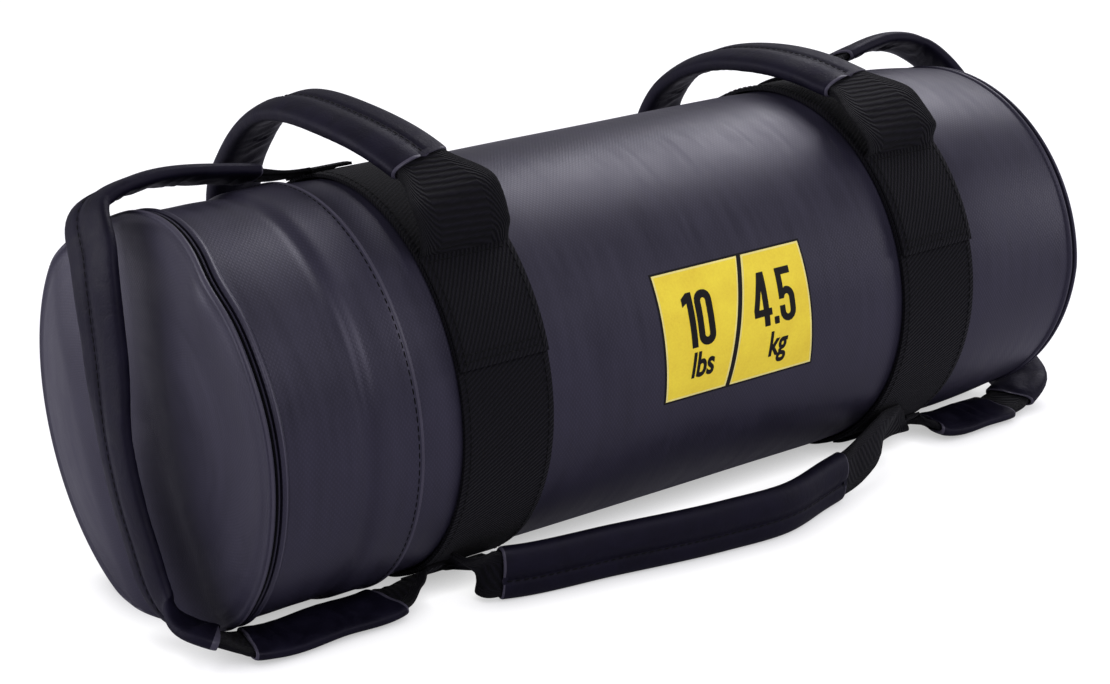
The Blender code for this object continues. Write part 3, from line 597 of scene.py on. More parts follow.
def roughened(tree, shader, pattern, low, high):
    """Links a roughness that runs from low to high as a pattern runs from 0.3 to 0.7."""
    rough = node(tree, "MapRange", {"From Min": 0.3, "From Max": 0.7, "To Min": low, "To Max": high,
                                    "Value": pattern})
    tree.links.new(rough, shader.inputs["Roughness"])


def bumped(tree, shader, pattern, depth):
    """Links a bump whose full height is a depth in metres."""
    normal = node(tree, "Bump", {"Strength": 1.0, "Distance": depth, "Height": pattern})
    tree.links.new(normal, shader.inputs["Normal"])


VIOLET_SHEEN = {"IOR": 1.50, "Specular Tint": (0.86, 0.82, 1.0, 1.0)}


def embossed_vinyl(name, base, roughness, pitch, depth):
    """PVC-coated polyester: a satin skin over a crossed weave that shows as a fine diagonal emboss."""
    # The emboss is drawn at about twice the real thread spacing, or it would not show.
    material, tree, shader, place = new_material(name, base, roughness,
                                                 VIOLET_SHEEN | {"Specular IOR Level": 0.36})
    crossed = calculated(tree, "MULTIPLY", *(wave(tree, place["UV"], turn, pitch, Distortion=0.6, Detail=0.0,
                                                  Detail_Scale=0.4) for turn in (35.0, -35.0)))
    cloud = noise(tree, place["Object"], 26.0, 5.0, Roughness=0.62)
    # Faint streaks round the bag, millimetres wide, vary the roughness and lighten and darken the base
    # colour; in the colour they are a painted sheen.
    stretched = node(tree, "Mapping", {"Scale": (1 / 0.005, 1 / 0.070, 1.0), "Vector": place["UV"]})
    sheen_streak = noise(tree, stretched, 1.0, 4.0, Roughness=0.6)
    cloud = node(tree, "Mix", {"data_type": "FLOAT", "Factor": 0.5, "A": cloud, "B": sheen_streak}, "Result")
    grain = noise(tree, place["Object"], 1 / 0.0009, 2.0)
    tinted(tree, shader, base, calculated(tree, "MULTIPLY_ADD", crossed, 0.25, cloud), 0.66, 1.36, 0.34, 0.86)
    roughened(tree, shader, cloud, roughness - 0.08, roughness + 0.10)
    bumped(tree, shader, calculated(tree, "MULTIPLY_ADD", grain, 0.30, crossed), depth)
    return material


def soft_leatherette(name, base, roughness, wrinkle):
    """Polyurethane leatherette, calendered: a smooth low sheen, with fine grain and pull wrinkles."""
    material, tree, shader, place = new_material(name, base, roughness,
                                                 VIOLET_SHEEN | {"Specular IOR Level": 0.16})
    grain = node(tree, "TexVoronoi", {"Scale": 1 / 0.0012, "Randomness": 1.0, "Vector": place["Object"]},
                 "Distance")
    pull = noise(tree, place["Object"], 1 / 0.012, 4.0, Roughness=0.55, Distortion=0.6)
    bumped(tree, shader, calculated(tree, "MULTIPLY_ADD", grain, 0.10, pull), wrinkle)
    tinted(tree, shader, base, pull, 0.75, 1.35, 0.32, 0.70)
    roughened(tree, shader, pull, roughness - 0.06, roughness + 0.08)
    return material


def twill_webbing(name, base, pitch, depth):
    """Polypropylene webbing, woven: matt diagonal ribs with a slight glitter from the yarns."""
    # The ribs are drawn at about twice their real spacing, or they would not show.
    material, tree, shader, place = new_material(name, base, 0.80, {
        "Specular IOR Level": 0.14, "Sheen Weight": 0.03, "Sheen Roughness": 0.45})
    rib = wave(tree, place["UV"], 58.0, pitch, Distortion=1.4, Detail=2.0, Detail_Scale=3.0)
    yarn = noise(tree, place["UV"], 1 / 0.0008, 2.0)
    bumped(tree, shader, calculated(tree, "MULTIPLY_ADD", yarn, 0.8, rib), depth)
    tinted(tree, shader, base, calculated(tree, "MULTIPLY", yarn, rib), 0.55, 2.2, 0.12, 0.62)
    return material


def printed_ink(name, base, roughness):
    """Screen-printed plastisol ink: flat and satin, with the cloth's texture just showing through."""
    material, tree, shader, place = new_material(name, base, roughness, {"Specular IOR Level": 0.20})
    pores = noise(tree, place["Object"], 1 / 0.0011, 3.0)
    cloud = noise(tree, place["Object"], 60.0, 3.0)
    tinted(tree, shader, base, calculated(tree, "MULTIPLY_ADD", pores, 0.5, cloud), 0.88, 1.08, 0.45)
    bumped(tree, shader, pores, 0.00006)
    return material


def matted_fibre(name, base, cell, depth, roughness=0.95):
    """Foam, wadding or plain cloth: a matt body with pores or fibres of one size."""
    material, tree, shader, place = new_material(name, base, roughness, {"Specular IOR Level": 0.25,
                                                                         "Sheen Weight": 0.2})
    fibre = noise(tree, place["Object"], 1 / cell, 4.0, Roughness=0.6)
    tinted(tree, shader, base, fibre, 0.78, 1.15)
    bumped(tree, shader, fibre, depth)
    return material


# Each kind of surface: its slot, its material's name, how that is made, its colour's name in
# BagFinish, and its roughness, pattern sizes and depths as its maker takes them.
KINDS = {
    "vinyl": ("body_vinyl", "pvc_coated_fabric", embossed_vinyl, "vinyl", 0.42, 0.0016, 0.00003),
    # The rubbed vinyl's lighter colour is a painted highlight on folds and lip crests, and real rubbing at
    # the sleeves' cut edges.
    "rubbed": ("body_vinyl", "rubbed_vinyl_edge", printed_ink, "rubbed", 0.40),
    "sleeve": ("sleeve_vinyl", "leatherette_sleeve", soft_leatherette, "sleeve", 0.55, 0.0005),
    "webbing": ("webbing", "polypropylene_webbing", twill_webbing, "webbing", 0.0019, 0.00035),
    "tape": ("binding", "woven_binding_tape", twill_webbing, "thread", 0.0010, 0.0001),
    "thread": ("webbing", "polyester_thread", twill_webbing, "thread", 0.0006, 0.00005),
    "yellow": ("body_vinyl", "plastisol_yellow", printed_ink, "yellow", 0.50),
    "pale": ("body_vinyl", "plastisol_pale_yellow", printed_ink, "pale", 0.50),
    "ink": ("body_vinyl", "plastisol_black", printed_ink, "ink", 0.45),
    "foam": ("foam", "closed_cell_foam", matted_fibre, "foam", 0.0012, 0.0002),
    "wadding": ("wadding", "polyester_wadding", matted_fibre, "wadding", 0.004, 0.0010),
    "pouch": ("pouch", "woven_pouch_cloth", matted_fibre, "pouch", 0.0009, 0.0002, 0.8),
}


def finish(kind):
    """The material of a kind of surface, made the first time it is asked for."""
    _, name, maker, colour_name, *values = KINDS[kind]
    found = bpy.data.materials.get(name)
    return found or maker(name, tuple(getattr(bpy.context.scene.bag_finish, colour_name)), *values)


# Operators

def body_profile(start, end, step, sections=()):
    """Stations from start to end, one every step, with the given stations among them."""
    count = max(2, round(abs(end - start) / step))
    return np.unique(np.concatenate([np.linspace(start, end, count), sections]))


def vinyl_panel(node_name, sizes, outer, lip, inner, rubbed_and_highlit_rows):
    """One panel of the bag's tube: its outside, its rolled lip and its inside, turned round the bag.

    outer and inner hold arrays of x, height and floor, and lip holds x and height.
    """
    parts = zip(outer, (*lip, np.zeros(len(lip[0]))), inner)
    x, height, floor = (np.concatenate(part) for part in parts)
    creased = np.concatenate([np.ones(len(outer[0])), np.linspace(1, 0, len(lip[0])),
                              np.full(len(inner[0]), 0.9)])
    piece = turned_piece(f"{node_name}_vinyl", sizes, x, height, floor, creased=creased)
    finished(piece, "bag", "vinyl", [node_name])
    # The lighter rows at the lap's fold and at the lip's crest are a painted highlight.
    mark_rows(piece, RING_SIDES, rubbed_and_highlit_rows + [len(outer[0]) + 4], "rubbed")


class BAG_OT_vinyl_panels(bpy.types.Operator):
    """Make the main panel, the closing panel lapped over it at the left, and their sewing."""

    bl_idname = "training_bag.vinyl_panels"
    bl_label = "Vinyl Panels"

    def execute(self, context):
        sizes = context.scene.bag_sizes
        right_end = sizes.right_rim - 0.0042
        under_band = sizes.webbing + CLEARANCE
        x = body_profile(-sizes.lap_edge - 0.004, right_end - 0.0030, 0.0026)
        beside = sizes.band_width / 2 + 0.002 - np.abs(np.abs(x) - sizes.band_spacing / 2)
        inner_x = np.linspace(right_end, -sizes.lap_edge - 0.004, 24)
        vinyl_panel("main_panel", sizes, (x, np.zeros(len(x)), under_band * smooth(beside, 0.0, 0.003)),
                    bead(right_end, 1, 0.0028, 0.0011),
                    (inner_x, np.full(24, -sizes.vinyl), np.full(24, under_band + sizes.vinyl)), [])

        left_end = -(sizes.left_rim - 0.0060)
        lap_end = sizes.lap_edge + sizes.lap_width
        over = CLEARANCE + sizes.vinyl
        fold = -sizes.lap_edge - np.array([0.0004, 0.0006, 0.0009, 0.0013, 0.0018, 0.0024])
        x = body_profile(-sizes.lap_edge - 0.0030, left_end + 0.0046, 0.0014, fold)[::-1]
        inner_x = np.linspace(left_end, -sizes.lap_edge - 0.0006, 30)
        raised, inner_raised = (over * smooth(place, -(lap_end + 0.006), -(lap_end - 0.001))
                                for place in (x, inner_x))
        edge = (0.0012 * smooth(x, -sizes.lap_edge - 0.0012, -sizes.lap_edge)
                - 0.0007 * bump_at(x, -sizes.lap_edge - 0.0016, 0.0009))
        tuck = 0.0012 * bump_at(x, -lap_end - 0.002, 0.0030)
        # Its first five rows, along the lap's folded edge, get the lighter colour as a painted highlight.
        vinyl_panel("closing_panel", sizes, (x, raised - edge - tuck, np.zeros(len(x))),
                    bead(left_end, -1, 0.0044, 0.0017),
                    (inner_x, inner_raised - sizes.vinyl, np.full(30, sizes.vinyl)),
                    [0, 1, 2, 3, 4])

        angles = np.arange(-60.0, 240.0, math.degrees(STITCH_PITCH / sizes.radius))
        line = -sizes.lap_edge - 0.0034
        sew_on_bag("lap_stitching", sizes, line, angles, over + folds(sizes, line, angles) + 0.00005)
        return {"FINISHED"}


def dome(share):
    """Share of an end's crown height, from 1 at its middle to 0 at its edge."""
    return np.maximum(1 - share ** 2.4, 0.0) ** 0.85


def end_cap(name, sizes, side, rim):
    """A domed vinyl end: dents on its face, a rolled lip at its rim, a flange and its inside."""
    angles = ring_angles(END_SIDES)[None, :]
    crown, skin = 0.0090, sizes.vinyl + 0.0006
    reach = sizes.radius - 0.0030
    share = np.linspace(0.0, 1.0, 46)
    lip_turn = np.radians(np.linspace(200.0, -30.0, 12))
    lip = {"left": 0.0019, "right": 0.0012}[name]
    lip_radius = sizes.radius - 0.0002 + lip * np.sin(lip_turn)
    lip_x = rim - 0.0012 - 0.85 * lip * np.cos(lip_turn + math.pi)
    inner = sizes.radius - skin
    flange_x = rim - np.array([0.0026, 0.0180, 0.0180, 0.0045])
    flange_radius = inner - np.array([0.0, 0.0, sizes.vinyl, sizes.vinyl])
    back = share[::-1][2:]
    x = np.concatenate([rim + crown * dome(share), lip_x[::-1], flange_x, rim + crown * dome(back) - skin])
    r = np.concatenate([reach * share, lip_radius[::-1], flange_radius, (reach - 0.0035) * back])[:, None]
    place = noise_places(0.1 * side, np.radians(angles), r)
    slack = lattice_noise(place, (0.05, 0.060, 0.036), 21)
    slack = slack + 0.4 * lattice_noise(place, (0.05, 0.024, 0.060), 22)
    row = np.arange(len(r))[:, None]
    on_face = (row < len(share)) | (row >= len(r) - len(back))
    dents = -0.0011 * (slack * 0.5 + 0.5) * on_face * smooth(r, 0.0965, 0.080) * 0.9
    points = on_bag(sizes, side * (x[:, None] + dents), angles, r - sizes.radius)
    uv = round_uv(sizes, np.diff(x), np.diff(r[:, 0]), END_SIDES)
    piece = grid_piece(f"end_cap_{name}_vinyl", points, uv, poles=True)
    finished(piece, "bag", "vinyl", [f"end_cap_{name}"])
    # The two lighter rows along the lip's crest are a painted highlight.
    mark_rows(piece, END_SIDES, [len(share) + 4, len(share) + 5], "rubbed")


def rim_binding(name, sizes, side, rim):
    """The tape between the two rolled lips of a rim: a low hump, a sine wave high."""
    start, wide, tall = {"left": (rim - 0.0057, 0.0026, 0.0026),
                         "right": (rim - 0.0040, 0.0011, 0.0006)}[name]
    x = np.concatenate([np.linspace(start, start + wide, 7), [start + wide, start]])
    hump = -0.0016 + tall * np.sin(np.linspace(0, math.pi, 7))
    piece = turned_piece(f"rim_binding_{name}_tape", sizes, side * x,
                         np.concatenate([hump, [-0.0020, -0.0020]]), np.zeros(9), END_SIDES)
    finished(piece, "bag", "tape", [f"rim_binding_{name}"])
    mark_rows(piece, END_SIDES, [2, 3], "vinyl")


def cap_pad(name, sizes, side, rim):
    """The foam pad behind an end: domed in front, flat behind."""
    share = np.linspace(0.0, 1.0, 14)
    pad = sizes.radius - sizes.vinyl * 2 - 0.0020
    front = rim + 0.0080 * dome(share) - sizes.vinyl * 2 - 0.0012
    x = np.concatenate([front, front[-1:] - 0.0170, np.full(13, front[-1] - 0.0185)])
    r = np.concatenate([pad * share * 0.985, [pad * 0.985], pad * 0.96 * share[::-1][1:]])
    points = on_bag(sizes, side * x[:, None], ring_angles(END_SIDES)[None, ::4], (r - sizes.radius)[:, None],
                    0.0045)
    finished(grid_piece(f"cap_pad_{name}_foam", points, poles=True), "bag", "foam", [f"cap_pad_{name}"])


class BAG_OT_ends(bpy.types.Operator):
    """Make the two soft ends, with their rolled rims and the binding sewn between the rims."""

    bl_idname = "training_bag.ends"
    bl_label = "Ends"

    def execute(self, context):
        sizes = context.scene.bag_sizes
        for name, side, rim in (("left", -1, sizes.left_rim), ("right", 1, sizes.right_rim)):
            end_cap(name, sizes, side, rim)
            rim_binding(name, sizes, side, rim)
            cap_pad(name, sizes, side, rim)
        return {"FINISHED"}


class BAG_OT_filling(bpy.types.Operator):
    """Make the wadding tube and the heavy pouch inside it."""

    bl_idname = "training_bag.filling"
    bl_label = "Filling"

    def execute(self, context):
        sizes = context.scene.bag_sizes
        angles = ring_angles(120)[None, :]
        turn = np.radians(angles)
        low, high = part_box("wadding")
        left, right = -0.234, high[0] - 0.001
        outer = sizes.radius - sizes.vinyl - 0.0020
        x = np.concatenate([np.linspace(left, right, 40), np.linspace(right, left, 40)])[:, None]
        r = np.repeat([outer, outer - 0.0455], 40)[:, None]
        lumps = lattice_noise(noise_places(x, turn, 0.09), (0.035, 0.04, 0.04), 31)
        r = r - 0.0012 * (lumps * 0.5 + 0.5) * (r > 0.07)
        points = on_bag(sizes, x, angles, r - sizes.radius, 0.0052)
        finished(grid_piece("wadding_tube", points, wrap_rows=True), "bag", "wadding", ["wadding"])

        low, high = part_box("ballast_pouch")
        x = np.linspace(low[0] + 0.0005, high[0] - 0.0005, 60)[:, None]
        share = np.clip((np.minimum(x - low[0], high[0] - x)) / 0.022, 0.0, 1.0)
        r = (sizes.radius - 0.0521) * (0.58 + 0.42 * np.sqrt(1 - (1 - share) ** 2)) - 0.0006
        packed = lattice_noise(noise_places(x, turn, 0.05), (0.02, 0.02, 0.02), 37)
        points = on_bag(sizes, x, angles, r - 0.0010 * (packed * 0.5 + 0.5) - sizes.radius)
        finished(grid_piece("ballast_pouch_cloth", points), "bag", "pouch", ["ballast_pouch"])
        return {"FINISHED"}


class BAG_OT_bands(bpy.types.Operator):
    """Make the two webbing bands sewn round the bag, and the sewing along them."""

    bl_idname = "training_bag.bands"
    bl_label = "Bands"

    def execute(self, context):
        sizes = context.scene.bag_sizes
        half = sizes.band_width / 2
        for name, side in (("left", -1), ("right", 1)):
            middle = side * sizes.band_spacing / 2
            across = np.linspace(-half, half, 21)
            top = CLEARANCE + sizes.webbing + 0.00022 * bump_at(half - np.abs(across), 0.0, 0.0022)
            top[[0, -1]] -= 0.0005
            x = np.concatenate([middle + across, middle + across[::-1][[0, 10, 20]]])
            height = np.concatenate([top, np.full(3, CLEARANCE)])
            floor = np.concatenate([np.zeros(21), np.full(3, sizes.webbing)])
            piece = turned_piece(f"band_{name}_webbing", sizes, x, height, floor)
            finished(piece, "bag", "webbing", [f"band_{name}"])
            angles = np.arange(-56.0, 236.0, math.degrees(STITCH_PITCH / sizes.radius))
            for edge, edge_name in ((-1, "near"), (1, "far")):
                sew_on_bag(f"band_{name}_stitching_{edge_name}", sizes, middle + edge * (half - 0.0030),
                           angles, sizes.webbing + 0.00045)
        return {"FINISHED"}


def panel_half(name, kind, sizes, left, right, low, high, height, thickness):
    """A thin printed patch on the bag: x runs from left to right, which may lean, and angle up."""
    v = np.linspace(0.0, 1.0, 40)[:, None]
    u = np.linspace(0.0, 1.0, 40)[None]
    x = (left[0] + (left[1] - left[0]) * v) * (1 - u) + (right[0] + (right[1] - right[0]) * v) * u
    angle = np.broadcast_to(low + (high - low) * v, x.shape)
    skin = height + folds(sizes, x, angle)
    piece = closed_sheet(name, on_bag(sizes, x, angle, skin + thickness), on_bag(sizes, x, angle, skin))
    finished(piece, "bag", kind)


def rounded_box(left, low, right, high, radius, steps=6):
    """Outline of a box with round corners: four quarter circles."""
    corners = ((right - radius, high - radius), (left + radius, high - radius),
               (left + radius, low + radius), (right - radius, low + radius))
    return [point for k, (x, y) in enumerate(corners)
            for point in oval_part(x, y, radius, radius, 90 * k, 90 * k + 90, steps)]


def oval_part(x, y, across, up, start, end, steps=9):
    """Points on part of an ellipse, between two angles in degrees."""
    return [(x + across * math.cos(t), y + up * math.sin(t))
            for t in np.radians(np.linspace(start, end, steps))]


# Plain narrow numerals, one unit high: each has its width and its outlines.
NUMERALS = {
    "0": (0.40, [rounded_box(0.0, 0.0, 0.40, 1.0, 0.19), rounded_box(0.143, 0.145, 0.257, 0.855, 0.055)]),
    "1": (0.25, [[(0.11, 0.0), (0.25, 0.0), (0.25, 1.0), (0.13, 1.0), (0.0, 0.91), (0.0, 0.76),
                  (0.11, 0.82)]]),
    "4": (0.44, [[(0.235, 0.0), (0.37, 0.0), (0.37, 0.19), (0.44, 0.19), (0.44, 0.32), (0.37, 0.32),
                  (0.37, 1.0), (0.21, 1.0), (0.0, 0.33), (0.0, 0.19), (0.235, 0.19)],
                 [(0.125, 0.32), (0.235, 0.32), (0.235, 0.68)]]),
    "5": (0.39, [[(0.37, 1.0), (0.37, 0.865), (0.145, 0.865), (0.14, 0.61)]
                 + oval_part(0.195, 0.44, 0.195, 0.20, 95, 0) + oval_part(0.195, 0.20, 0.195, 0.20, 0, -180)
                 + [(0.0, 0.31), (0.13, 0.31)] + oval_part(0.195, 0.20, 0.062, 0.07, 180, 360)
                 + oval_part(0.195, 0.43, 0.062, 0.075, 0, 150) + [(0.125, 0.43), (0.005, 0.43),
                                                                  (0.015, 1.0)]]),
    ".": (0.12, [rounded_box(0.0, 0.0, 0.12, 0.14, 0.02)]),
}
NUMERAL_GAP = 0.042


def numeral_curve(text, height):
    """Flat numerals of a height as one filled curve, centred."""
    curve = bpy.data.curves.new("numerals", "CURVE")
    curve.dimensions = "2D"
    curve.fill_mode = "BOTH"
    total = sum(NUMERALS[sign][0] for sign in text) + NUMERAL_GAP * (len(text) - 1)
    left = -total / 2
    for sign in text:
        width, outlines = NUMERALS[sign]
        for outline in outlines:
            spline = curve.splines.new("POLY")
            spline.points.add(len(outline) - 1)
            places = [((left + x) * height, (y - 0.5) * height, 0.0, 1.0) for x, y in outline]
            spline.points.foreach_set("co", np.ravel(places))
            spline.use_cyclic_u = True
        left += width + NUMERAL_GAP
    return curve


def letter_curve(text, size, weight):
    """Flat plain letters as one filled curve, centred."""
    curve = bpy.data.curves.new("letters", "FONT")
    curve.body = text
    curve.size = size
    curve.align_x = "CENTER"
    curve.align_y = "CENTER"
    curve.offset = weight
    curve.shear = 0.26
    return curve


def wrapped_writing(name, curve, sizes, x, angle, squeeze, height):
    """Writing on the bag: the flat shapes cut into 1.5 mm strips, then wrapped round the surface."""
    curve.extrude = 0.00006
    source = bpy.data.objects.new(name + "_source", curve)
    bpy.context.scene.collection.objects.link(source)
    bpy.context.view_layer.update()
    mesh = bpy.data.meshes.new_from_object(source.evaluated_get(bpy.context.evaluated_depsgraph_get()))
    bpy.data.objects.remove(source)
    bpy.data.curves.remove(curve)
    bm = bmesh.new()
    bm.from_mesh(mesh)
    bmesh.ops.remove_doubles(bm, verts=bm.verts, dist=1e-7)
    for cut in np.arange(-0.018, 0.018, 0.0015):
        bmesh.ops.bisect_plane(bm, geom=bm.verts[:] + bm.edges[:] + bm.faces[:], plane_co=(0, cut, 0),
                               plane_no=(0, 1, 0))
    bmesh.ops.recalc_face_normals(bm, faces=bm.faces)
    bm.to_mesh(mesh)
    bm.free()
    flat = np.empty(len(mesh.vertices) * 3, np.float32)
    mesh.vertices.foreach_get("co", flat)
    flat = flat.reshape(-1, 3).astype(float)
    across = x + flat[:, 0] * squeeze
    turned = angle + np.degrees(flat[:, 1] / sizes.radius)
    wrapped = on_bag(sizes, across, turned, height + flat[:, 2] + folds(sizes, across, turned))
    mesh.vertices.foreach_set("co", wrapped.astype(np.float32).ravel())
    mesh.update()
    mesh.name = name
    piece = bpy.data.objects.new(name, mesh)
    bpy.context.scene.collection.objects.link(piece)
    finished(piece, "bag", "ink")


class BAG_OT_weight_panel(bpy.types.Operator):
    """Print the two-part weight panel: a dark ground, two pale-edged yellow halves and plain numbers."""

    bl_idname = "training_bag.weight_panel"
    bl_label = "Weight Panel"

    def execute(self, context):
        sizes = context.scene.bag_sizes
        low, high = -6.5, 30.5
        left, right = -0.044, 0.050
        split = np.array([-0.0050, 0.0110])
        border, gap, inset = 0.0011, 0.0014, 0.0010
        turn = math.degrees(border / sizes.radius)
        panel_half("weight_panel_ground", "ink", sizes, (left - border,) * 2, (right + border,) * 2,
                   low - turn, high + turn, 0.00008, 0.00005)
        turn = math.degrees(inset / sizes.radius)
        for name, near, far in (("pounds", np.array([left, left]), split - gap),
                                ("kilograms", split + gap, np.array([right, right]))):
            panel_half(f"weight_panel_{name}_edge", "pale", sizes, near, far, low, high, 0.00016, 0.00004)
            panel_half(f"weight_panel_{name}", "yellow", sizes, near + inset, far - inset, low + turn,
                       high - turn, 0.00023, 0.00004)
        number, letter, weight = 0.0272, 0.0172, 0.00045
        writing = (("number_pounds", numeral_curve("10", number), -0.0214, 15.7, 0.97),
                   ("unit_pounds", letter_curve("lbs", letter, weight), -0.0222, 2.2, 0.76),
                   ("number_kilograms", numeral_curve("4.5", number), 0.0266, 16.3, 0.96),
                   ("unit_kilograms", letter_curve("kg", letter, weight), 0.0262, 2.2, 0.76))
        for name, curve, x, angle, squeeze in writing:
            wrapped_writing("weight_" + name, curve, sizes, x, angle, squeeze, 0.00036)
        return {"FINISHED"}


def foot(node_name, sizes, x_low, x_high, angle_low, angle_high):
    """A webbing foot sewn on a band: a thin closed sheet whose edges are pressed down a little."""
    rows, columns = 30, 18
    base = sizes.webbing + 0.0008
    angle = np.linspace(angle_low, angle_high, rows)[:, None]
    x = np.linspace(x_low, x_high, columns)[None, :]
    near_end = np.radians(np.minimum(angle - angle_low, angle_high - angle)) * sizes.radius
    near_edge = np.minimum(np.minimum(x - x_low, x_high - x), near_end)
    top = base + sizes.webbing - 0.0006 * bump_at(near_edge, 0.0, 0.0010)
    along = np.linspace(0.0, math.radians(angle_high - angle_low) * sizes.radius, rows)
    around = np.linspace(0.0, 2 * (x_high - x_low), 2 * columns + 1)
    back = on_bag(sizes, x, angle, np.full(top.shape, base))
    piece = closed_sheet(f"{node_name}_webbing", on_bag(sizes, x, angle, top), back, (along, around))
    finished(piece, "bag", "webbing", [node_name])


def foot_sewing(name, sizes, x_low, x_high, angle_low, angle_high):
    """Three rows of stitches across a foot and one down each side."""
    inset, pitch = 0.0035, 0.0036
    turn = math.degrees(inset / sizes.radius)
    lift = 2 * sizes.webbing + 0.0009
    across = np.arange(x_low + inset, x_high - inset, pitch)
    down = np.arange(angle_low + turn, angle_high - turn, math.degrees(pitch / sizes.radius))
    for k, angle in enumerate((angle_low + turn, angle_low + turn * 1.9, angle_high - turn)):
        sew_on_bag(f"{name}_row_{k}", sizes, across, angle, lift, True)
    for k, line in enumerate((x_low + inset, x_high - inset)):
        sew_on_bag(f"{name}_side_{k}", sizes, line, down, lift)


def foot_height(sizes):
    """Height of a foot's middle plane above the vinyl: it lies on the band."""
    return CLEARANCE + sizes.webbing + CLEARANCE + sizes.webbing / 2


# Middle line of each top grip: distance along the chord between its feet, from the chord's
# middle towards the back, and height above the chord, both as parts of the half chord.
GRIP_KNOTS = {
    "left": ((-1.070, 0.085), (-1.120, 0.260), (-0.935, 0.485), (-0.462, 0.810), (0.088, 1.010),
             (0.640, 0.895), (1.030, 0.665), (1.190, 0.395), (1.115, 0.130)),
    "right": ((-1.055, 0.080), (-1.020, 0.250), (-0.703, 0.520), (-0.187, 0.760), (0.374, 0.840),
              (0.730, 0.765), (1.035, 0.565), (1.190, 0.300), (1.150, 0.100), (1.050, 0.100)),
}
GRIP_LIFT = {"left": (40.0, 45.0), "right": (30.0, 45.0)}

# Each kind of padded sleeve: its outer and inner width and thickness, the section's power, its
# seam, creases and swelling, where its stitches lie, and how its webbing narrows and thickens in it.
GRIP_STYLE = {"size": (0.033, 0.011), "core": (0.0298, 0.0068), "power": 2.7, "seam": 0.16,
              "seam_depth": 0.0013, "seam_width": 0.07, "seam_place": (0.0165, 0.0041), "flat": 0.0016,
              "roll_side": -1, "crease": 0.0006, "crease_pitch": 0.0085, "swell": 0.05, "rows": 96,
              "fill": 0.7, "stations": 56, "narrow": (0.0286, 0.026), "thick": (0.0056, -0.002, 0.020)}
LONG_STYLE = {"size": (0.027, 0.011), "core": (0.0238, 0.0068), "power": 2.8, "seam": -0.20,
              "seam_depth": 0.0011, "seam_width": 0.06, "seam_place": (0.0135, 0.0046), "flat": 0.0012,
              "roll_side": 1, "crease": 0.0004, "crease_pitch": 0.009, "swell": 0.04, "rows": 100,
              "seed": 47, "fill": 0.7, "stations": 76, "narrow": (0.0228, 0.020),
              "thick": (0.0056, -0.002, 0.018)}
END_STYLE = {"core": (0.0258, 0.0045), "power": 3.0, "seam": 0.22, "seam_depth": 0.0010,
             "seam_width": 0.055, "seam_place": (0.0145, 0.0031), "flat": 0.0010, "roll_side": -1,
             "crease": 0.0008, "crease_pitch": 0.011, "swell": 0.05, "fill": 0.6, "stations": 36,
             "narrow": (0.0248, 0.012), "thick": (0.0035, -0.001, 0.012)}


class BAG_OT_grips(bpy.types.Operator):
    """Make the two top grips: webbing legs with feet, and a padded sleeve sewn shut along its top."""

    bl_idname = "training_bag.grips"
    bl_label = "Top Grips"

    def execute(self, context):
        sizes = context.scene.bag_sizes
        half = sizes.band_width / 2
        front_angle, rear_angle, foot_turn = 50.0, 175.0, math.degrees(0.054 / sizes.radius)
        start, end, tip = 0.053, 0.263, math.radians(12.0)
        up = away(TOP_ANGLE) * math.cos(tip) - ALONG * math.sin(tip)
        tipped = ALONG * math.cos(tip) + away(TOP_ANGLE) * math.sin(tip)
        for side_name, side, seed in (("left", -1, 41), ("right", 1, 43)):
            x = side * sizes.band_spacing / 2
            body = f"grip_{side_name}"
            for place, low in (("front", front_angle - foot_turn), ("rear", rear_angle)):
                high = low + foot_turn
                foot(f"{body}_foot_{place}", sizes, x - half + 0.0004, x + half - 0.0004, low, high)
                foot_sewing(f"{body}_foot_{place}_sewing", sizes, x - half, x + half, low, high)
            lift = np.radians(GRIP_LIFT[side_name])
            front = surface_point(sizes, x, front_angle, foot_height(sizes))
            rear = surface_point(sizes, x, rear_angle, foot_height(sizes))
            lead_in = round_bag(front_angle) * math.cos(lift[0]) + away(front_angle) * math.sin(lift[0])
            lead_out = round_bag(rear_angle) * math.cos(lift[1]) - away(rear_angle) * math.sin(lift[1])
            knots = [(front, ALONG)]
            for along, rise in GRIP_KNOTS[side_name]:
                share = min(rise / 0.4, 1.0)
                reach = np.linalg.norm(rear - front) / 2
                knots.append(((front + rear) / 2 + (rear - front) / 2 * along + up * rise * reach,
                              ALONG * (1 - share) + tipped * share))
            route = make_route(knots + [(rear, ALONG)], lead_in, lead_out)
            style = GRIP_STYLE | {"seed": seed}
            sewn_sleeve(body, body, route, start, end, style, -1)
            webbing_legs(body, ("front", "rear"), route, start, end, style, sizes.band_width - 0.0012,
                         sizes.webbing, -1)
        return {"FINISHED"}


